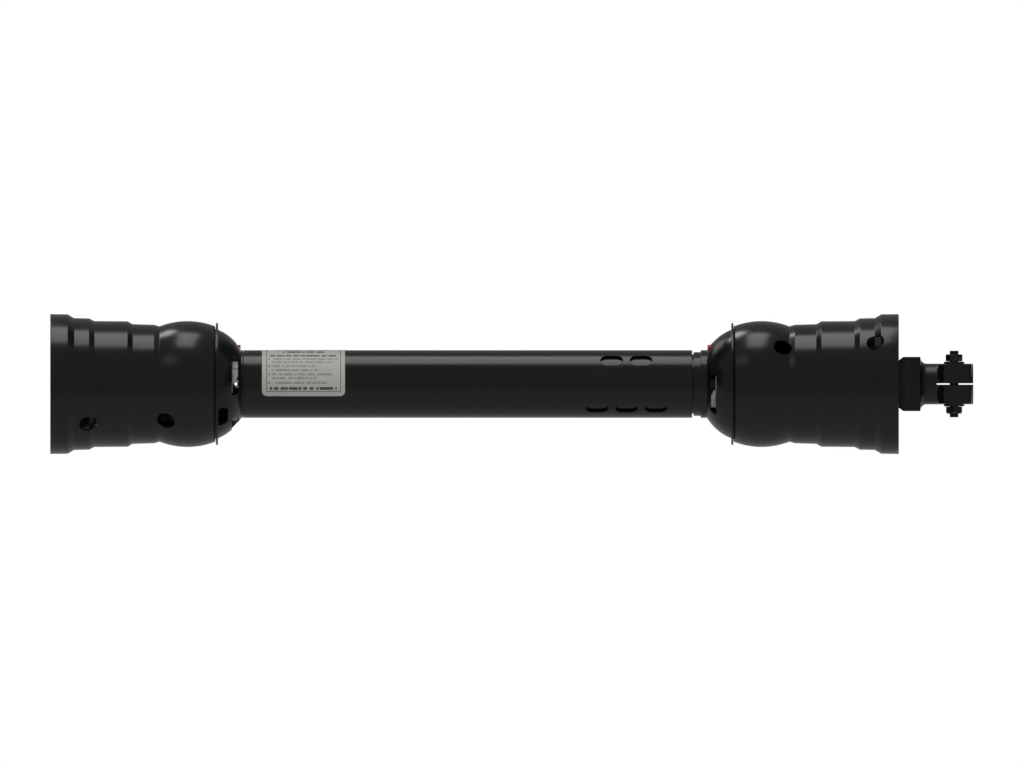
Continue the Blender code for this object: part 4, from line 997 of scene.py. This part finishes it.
oxide_shades = (0.034, 0.030, 0.026), (0.085, 0.076, 0.066)
oxide_grain = (160, 3, 0.14, 0, 0), (2500, 2, 0.08, 0.00002, 0.5)
dark_bolt = surface("bolt_black_oxide", *oxide_shades, 0.30, *oxide_grain, metallic=1.0)
nut_mouth = ((-0.001, 0), (-0.001, 0.0074), (0.0001, 0.0070), (0.0009, 0.00622))
nut_bore = [(bolt_gap + x, radius) for x, radius in nut_mouth]
nut_bore += [(bolt_gap + nut_height - x, radius) for x, radius in reversed(nut_mouth)]
for place, y, up, nut_turn in (("front", -bolt_offset, 1, 30), ("back", bolt_offset, -1, 0)):
    shank = rod((-bolt_gap - 0.001, 0, 0), (0.0200, 0, 0), thread_radius - 0.00015, 48)
    head = hexagon(-bolt_gap - head_height, -bolt_gap, 0, ("low",), head_flats)
    bolt = combined(head, "UNION", [shank, threaded(0.0190, bolt_end)])
    nut = hexagon(bolt_gap, bolt_gap + nut_height, nut_turn, ("low", "high"))
    nut = combined(nut, "DIFFERENCE", [turned(nut_bore, 64)])
    stand = Matrix.Translation(cross_middle["implement"] + Vector((bolt_reach, y, 0)))
    stand = stand @ Matrix.Rotation(-up * pi / 2, 4, "Y")
    for name, shape in (("bolt", bolt), ("nut", nut)):
        bmesh.ops.transform(shape, matrix=stand, verts=shape.verts)
        shape = softened(shape, 0.00015, 50, 1) if name == "nut" else shape
        stands_for = [f"{place}_clamp_{name}"]
        finished(f"{place}_{name}_steel", shape, dark_bolt, "bolt_steel", "implement_yoke", stands_for)

# Tractor yoke
# Its hub has the same six splines, three wells for the lock balls, and a groove for the collar's stop ring.
# The whole forging, hub and fork alike, is painted.
ball_yoke_length = 0.1120
ball_hub_radius = 0.0270
ball_reach = 0.0925
ball_orbit = 0.0214
ball_radius = 0.0055
ball_turns = (90, 330, 210)
hub = ((neck_reach, 0), (neck_reach, ball_hub_radius), (ball_yoke_length - 0.001, ball_hub_radius))
hub += ((ball_yoke_length, ball_hub_radius - 0.001), (ball_yoke_length, 0))
stop_groove = ((0.1071, 0.0250), (0.1071, 0.0300), (0.1092, 0.0300), (0.1092, 0.0250))
cuts = [ear_bores(), spline_bore(throat_reach - 0.01, ball_yoke_length + 0.01), turned(stop_groove, 96)]
for turn in ball_turns:
    middle = Vector((ball_reach, 0, 0))
    way = Vector((0, *polar(1, turn)))
    cuts.append(rod(middle + way * 0.0189, middle + way * 0.035, 0.0058, 48))
    cuts.append(rod(middle + way * 0.0100, middle + way * 0.0195, 0.0049, 48))
forging = forged([fork_blank(), turned(hub, 128)], cuts, 0.0013, 4)
painted_fork("tractor_outer_forging", forging, "tractor_yoke", "tractor_yoke")


def bare_steel(name, dark, pale, roughness, stretch=(700, 90, 90), depth=0.00001):
    """Bare steel with fine marks of its tool, and slow changes of tone and gloss."""
    marks = (1, 3, 0.16, depth, 0.4, stretch)
    return surface(name, dark, pale, roughness, (45, 3, 0.06, 0, 0), marks, metallic=1.0)


ground_steel = bare_steel("ground_steel", (0.36, 0.36, 0.37), (0.48, 0.48, 0.49), 0.16)
ring_steel = bare_steel("ring_spring_steel", (0.14, 0.14, 0.15), (0.25, 0.25, 0.26), 0.26)
drawn_marks = (6, 800, 800), 0.00002
tube_steel = bare_steel("drawn_tube_steel", (0.18, 0.18, 0.19), (0.28, 0.28, 0.29), 0.30, *drawn_marks)

# Quick lock
# Three balls drop into the groove of the tractor's stub while the collar stands over them.
# A spring pushes the turned collar against a washer and a snap ring, and pulling it back lets the balls out.
yoke_lie = lies["tractor_yoke"]
for turn in ball_turns:
    ball = bmesh.new()
    bmesh.ops.create_icosphere(ball, subdivisions=4, radius=ball_radius)
    centre = (ball_reach, *polar(ball_orbit, turn))
    bmesh.ops.translate(ball, verts=ball.verts, vec=centre)
    stands_for = []
    for name in ("lock_ball_1", "lock_ball_2", "lock_ball_3"):
        low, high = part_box(name)
        if ((low + high) / 2 - yoke_lie @ Vector(centre)).length < 0.002:
            stands_for.append(name)
    name = f"{stands_for[0]}_bearing"
    finished(name, ball, ground_steel, "bright_steel", "tractor_yoke", stands_for, lie=yoke_lie)

collar_start, collar_stop = 0.0745, 0.1045
collar_radius = 0.0340
collar_waist = 0.0325
collar_bore = 0.0273
collar_pocket = 0.0310
collar_line = [(collar_start, collar_pocket, 0.0003), (collar_start, collar_radius, 0.0008)]
collar_line += [(collar_start + 0.005, collar_radius, 0.0008), (collar_start + 0.0065, collar_waist, 0.0008)]
collar_line += [(collar_stop - 0.0065, collar_waist, 0.0008), (collar_stop - 0.005, collar_radius, 0.0008)]
collar_line += [(collar_stop, collar_radius, 0.0008), (collar_stop, 0.0300, 0.0003)]
collar_line += [(collar_stop - 0.006, collar_bore, 0), (collar_start + 0.0078, collar_bore, 0.0003)]
collar_line += [(collar_start + 0.0078, collar_pocket, 0)]
washer_line = [(0.1048, collar_bore, 0.0002), (0.1048, 0.0330, 0.0004)]
washer_line += [(0.1068, 0.0330, 0.0004), (0.1068, collar_bore, 0.0002)]
for name, line, steel, body, solid in (
    ("collar_turning", collar_line, tube_steel, "lock_collar", "lock_collar"),
    ("washer_disc", washer_line, ring_steel, "tractor_yoke", "collar_stop_washer"),
):
    finished(name, turned(rounded(line), 128), steel, "ring_steel", body, [solid], lie=yoke_lie)

spring_radius = 0.0291
wire_radius = 0.0010
spring_ends = (0.0658, 0.0810)
spring_turns = 2.75
spring_steps = 132
wire = bmesh.new()
section = bmesh.ops.create_circle(wire, segments=16, radius=wire_radius)["verts"]
bmesh.ops.rotate(wire, verts=section, cent=(0, 0, 0), matrix=Matrix.Rotation(pi / 2, 3, "X"))
bmesh.ops.translate(wire, verts=section, vec=(spring_ends[0], 0, spring_radius))
start_edges = wire.edges[:]
advance = (spring_ends[1] - spring_ends[0]) / spring_steps
coil = {"cent": (0, 0, 0), "axis": (1, 0, 0), "dvec": (advance, 0, 0), "angle": -tau * spring_turns}
bmesh.ops.spin(wire, geom=section + start_edges, steps=spring_steps, use_merge=False, **coil)
bmesh.ops.holes_fill(wire, edges=[edge for edge in wire.edges if edge.is_boundary], sides=0)
bmesh.ops.recalc_face_normals(wire, faces=wire.faces)
coiled = {"crease": 60, "lie": yoke_lie @ quarter_roll}
spring = finished("spring_wire", wire, ring_steel, "ring_steel", "tractor_yoke", ["collar_spring"], **coiled)
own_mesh(spring)


def open_ring(outer, inner, gap, steps):
    """Outline of a ring with a gap at the top, so many degrees wide."""
    ends = 90 + gap / 2, 450 - gap / 2
    return arc((0, 0), outer, *ends, steps) + arc((0, 0), inner, *reversed(ends), steps)


def split_ring(inner, outer, start, end, gap, eye=0.0):
    """Flat snap ring along X, open at the top, with pierced eyes at its ends where it has them."""
    ring = prism(open_ring(outer, inner, gap, 72), start, end, "X")
    if eye:
        swing = radians(gap / 2) + 1.1 * eye / inner
        places = [(sin(turn) * inner, cos(turn) * inner) for turn in (-swing, swing)]
        lugs = [rod((start, *place), (end, *place), eye, 24) for place in places]
        holes = [rod((start - 0.001, *place), (end + 0.001, *place), eye * 0.45, 16) for place in places]
        ring = combined(combined(ring, "UNION", lugs), "DIFFERENCE", holes)
    return softened(ring, 0.00018, 60, 1)


ring = split_ring(0.0253, 0.0295, 0.10725, 0.10905, 15)
stands_for = ["collar_stop_ring"]
finished("stop_ring_steel", ring, ring_steel, "ring_steel", "tractor_yoke", stands_for, lie=yoke_lie)

# Crosses
# Each joint turns on a forged cross with four ground trunnions, greased through a nipple between two of them.
# A hardened cup with its needles sits on each trunnion, held in the fork's ear by a snap ring.
web_radius = 0.0232
web_half = 0.0090
shoulder_radius = 0.0130
shoulder_end = 0.0246
trunnion_radius = 0.0107
trunnion_end = 0.0431
nipple_turn = {"tractor": 45, "implement": 135}
cup_bore = 0.0112
cup_floor = 0.0434
cup_mouth = 0.0252
cup_line = [(cup_face, 0.0132, 0.0003), (cup_face, cup_radius, 0.0008), (cup_mouth, cup_radius, 0.0004)]
cup_line = rounded([*cup_line, (cup_mouth, cup_bore, 0.0003), (cup_floor, cup_bore, 0.0006)])
brass_shades = (0.48, 0.33, 0.12), (0.62, 0.45, 0.18)
brass_stain = (400, 3, 0.16, 0.00002, 0.3)
plated_brass = surface("nipple_plated_brass", *brass_shades, 0.22, brass_stain, metallic=1.0)


def pointing(way, middle):
    """Matrix that turns a shape made along X to point another way from a middle."""
    turn = Vector((1, 0, 0)).rotation_difference(Vector(way)).to_matrix().to_4x4()
    return Matrix.Translation(middle) @ turn


ways = {
    "lower": ((0, 0, -1), "shaft"),
    "upper": ((0, 0, 1), "shaft"),
    "front": ((0, -1, 0), "yoke"),
    "back": ((0, 1, 0), "yoke"),
}
for side in sides:
    middle = cross_middle[side]
    body = f"{side}_cross"
    rough = [turned([(-web_half, 0), (-web_half, web_radius), (web_half, web_radius), (web_half, 0)], 96)]
    arms = []
    neck = trunnion_end - 0.0010
    for way in (Vector((0, 1, 0)), Vector((0, 0, 1))):
        rough.append(rod(-way * shoulder_end, way * shoulder_end, shoulder_radius, 64))
        arms.append(rod(-way * neck, way * neck, trunnion_radius, 96))
        for sense in (-1, 1):
            ends = way * neck * sense, way * trunnion_end * sense
            arms.append(rod(*ends, trunnion_radius, 96, trunnion_radius - 0.0010))
    tap = outward(nipple_turn[side])
    shape = combined(forged(rough, [], 0.0011, 4), "UNION", arms)
    shape = combined(shape, "DIFFERENCE", [rod(tap * 0.0179, tap * 0.0400, 0.0031, 32)])
    lie = Matrix.Translation(middle)
    finished(f"{side}_cross_forging", shape, ground_steel, "bright_steel", body, [body], lie=lie)

    neck_start, head_start, head_end = 0.0270, 0.0295, 0.0325
    stem = ((0.0182, 0), (0.0182, 0.0028), (neck_start, 0.0028), (neck_start + 0.0006, 0.0022))
    stem += ((head_start, 0.0022), (head_start + 0.0010, 0.0032), (head_end - 0.0006, 0.0026))
    stem += ((head_end, 0.0014), (head_end, 0))
    collar = prism(arc((0, 0), 0.0042, 0, 300, 5), 0.0235, neck_start, "X")
    nipple = combined(turned(stem, 40), "UNION", [collar])
    lie = pointing(tap, middle)
    stands_for = [f"{side}_grease_nipple"]
    finished(f"{side}_nipple_fitting", nipple, plated_brass, "nipple_brass", body, stands_for, lie=lie)
    for place, (way, end) in ways.items():
        name = f"{side}_{place}"
        body = f"{side}_{end}"
        lie = pointing(way, middle)
        cup = turned([(cup_face, 0), *cup_line, (cup_floor, 0)], 96)
        finished(f"{name}_cup_shell", cup, ground_steel, "bright_steel", body, [f"{name}_cup"], lie=lie)
        ring = split_ring(0.0135, 0.0162, 0.04645, 0.04795, 26, 0.0019)
        finished(f"{name}_ring_clip", ring, ring_steel, "ring_steel", body, [f"{name}_snap_ring"], lie=lie)

# Profile tubes
# Two drawn steel tubes with three lobes slide in each other and carry the torque.
# Each is fixed in its tube yoke by a slotted spring pin, whose bore shows through the left window.
profile_wall = 0.0040
profile_ends = {"tractor": ("outer", -0.4060, 0.2250), "implement": ("inner", -0.3100, 0.3080)}
pin_bore_radius = 0.0023
pin_gap = 0.0012
pin_half_length = hub_radius - 0.0005
pin_steel = bare_steel("pin_spring_steel", (0.20, 0.20, 0.21), (0.32, 0.32, 0.33), 0.28)
for side, (place, near, far) in profile_ends.items():
    body = f"{side}_shaft"
    offset = profile_offset[side]
    tube = prism(lobed(offset), near, far, "X")
    bore = prism(lobed(offset - profile_wall), near - 0.01, far + 0.01, "X")
    for shape in (tube, bore):
        bmesh.ops.rotate(shape, verts=shape.verts, cent=(0, 0, 0), matrix=Matrix.Rotation(pi / 2, 3, "X"))
        if side == "implement":
            about = {"cent": ((near + far) / 2, 0, 0), "matrix": Matrix.Rotation(pi, 3, "Z")}
            bmesh.ops.rotate(shape, verts=shape.verts, **about)
    middle = lies[f"{side}_tube_yoke"] @ Vector((pin_reach[side], 0, 0))
    across = lies[f"{side}_tube_yoke"].to_3x3() @ Vector(pin_axis[side])
    drill = rod(middle - across * 0.05, middle + across * 0.05, pin_radius + play, 32)
    tube = softened(combined(tube, "DIFFERENCE", [bore, drill]), 0.0004)
    finished(f"{place}_profile_drawn", tube, tube_steel, "tube_steel", body, [f"{place}_profile_tube"])

    gap = 360 * pin_gap / (tau * pin_radius)
    wrap = open_ring(pin_radius, pin_bore_radius, gap, 40)
    pin = softened(prism(wrap, -pin_half_length, pin_half_length, "X"), 0.0003, 60, 2)
    lie = pointing(across, middle)
    finished(f"{side}_pin_roll", pin, pin_steel, "bright_steel", body, [f"{side}_spring_pin"], lie=lie)

bpy.context.view_layer.update()
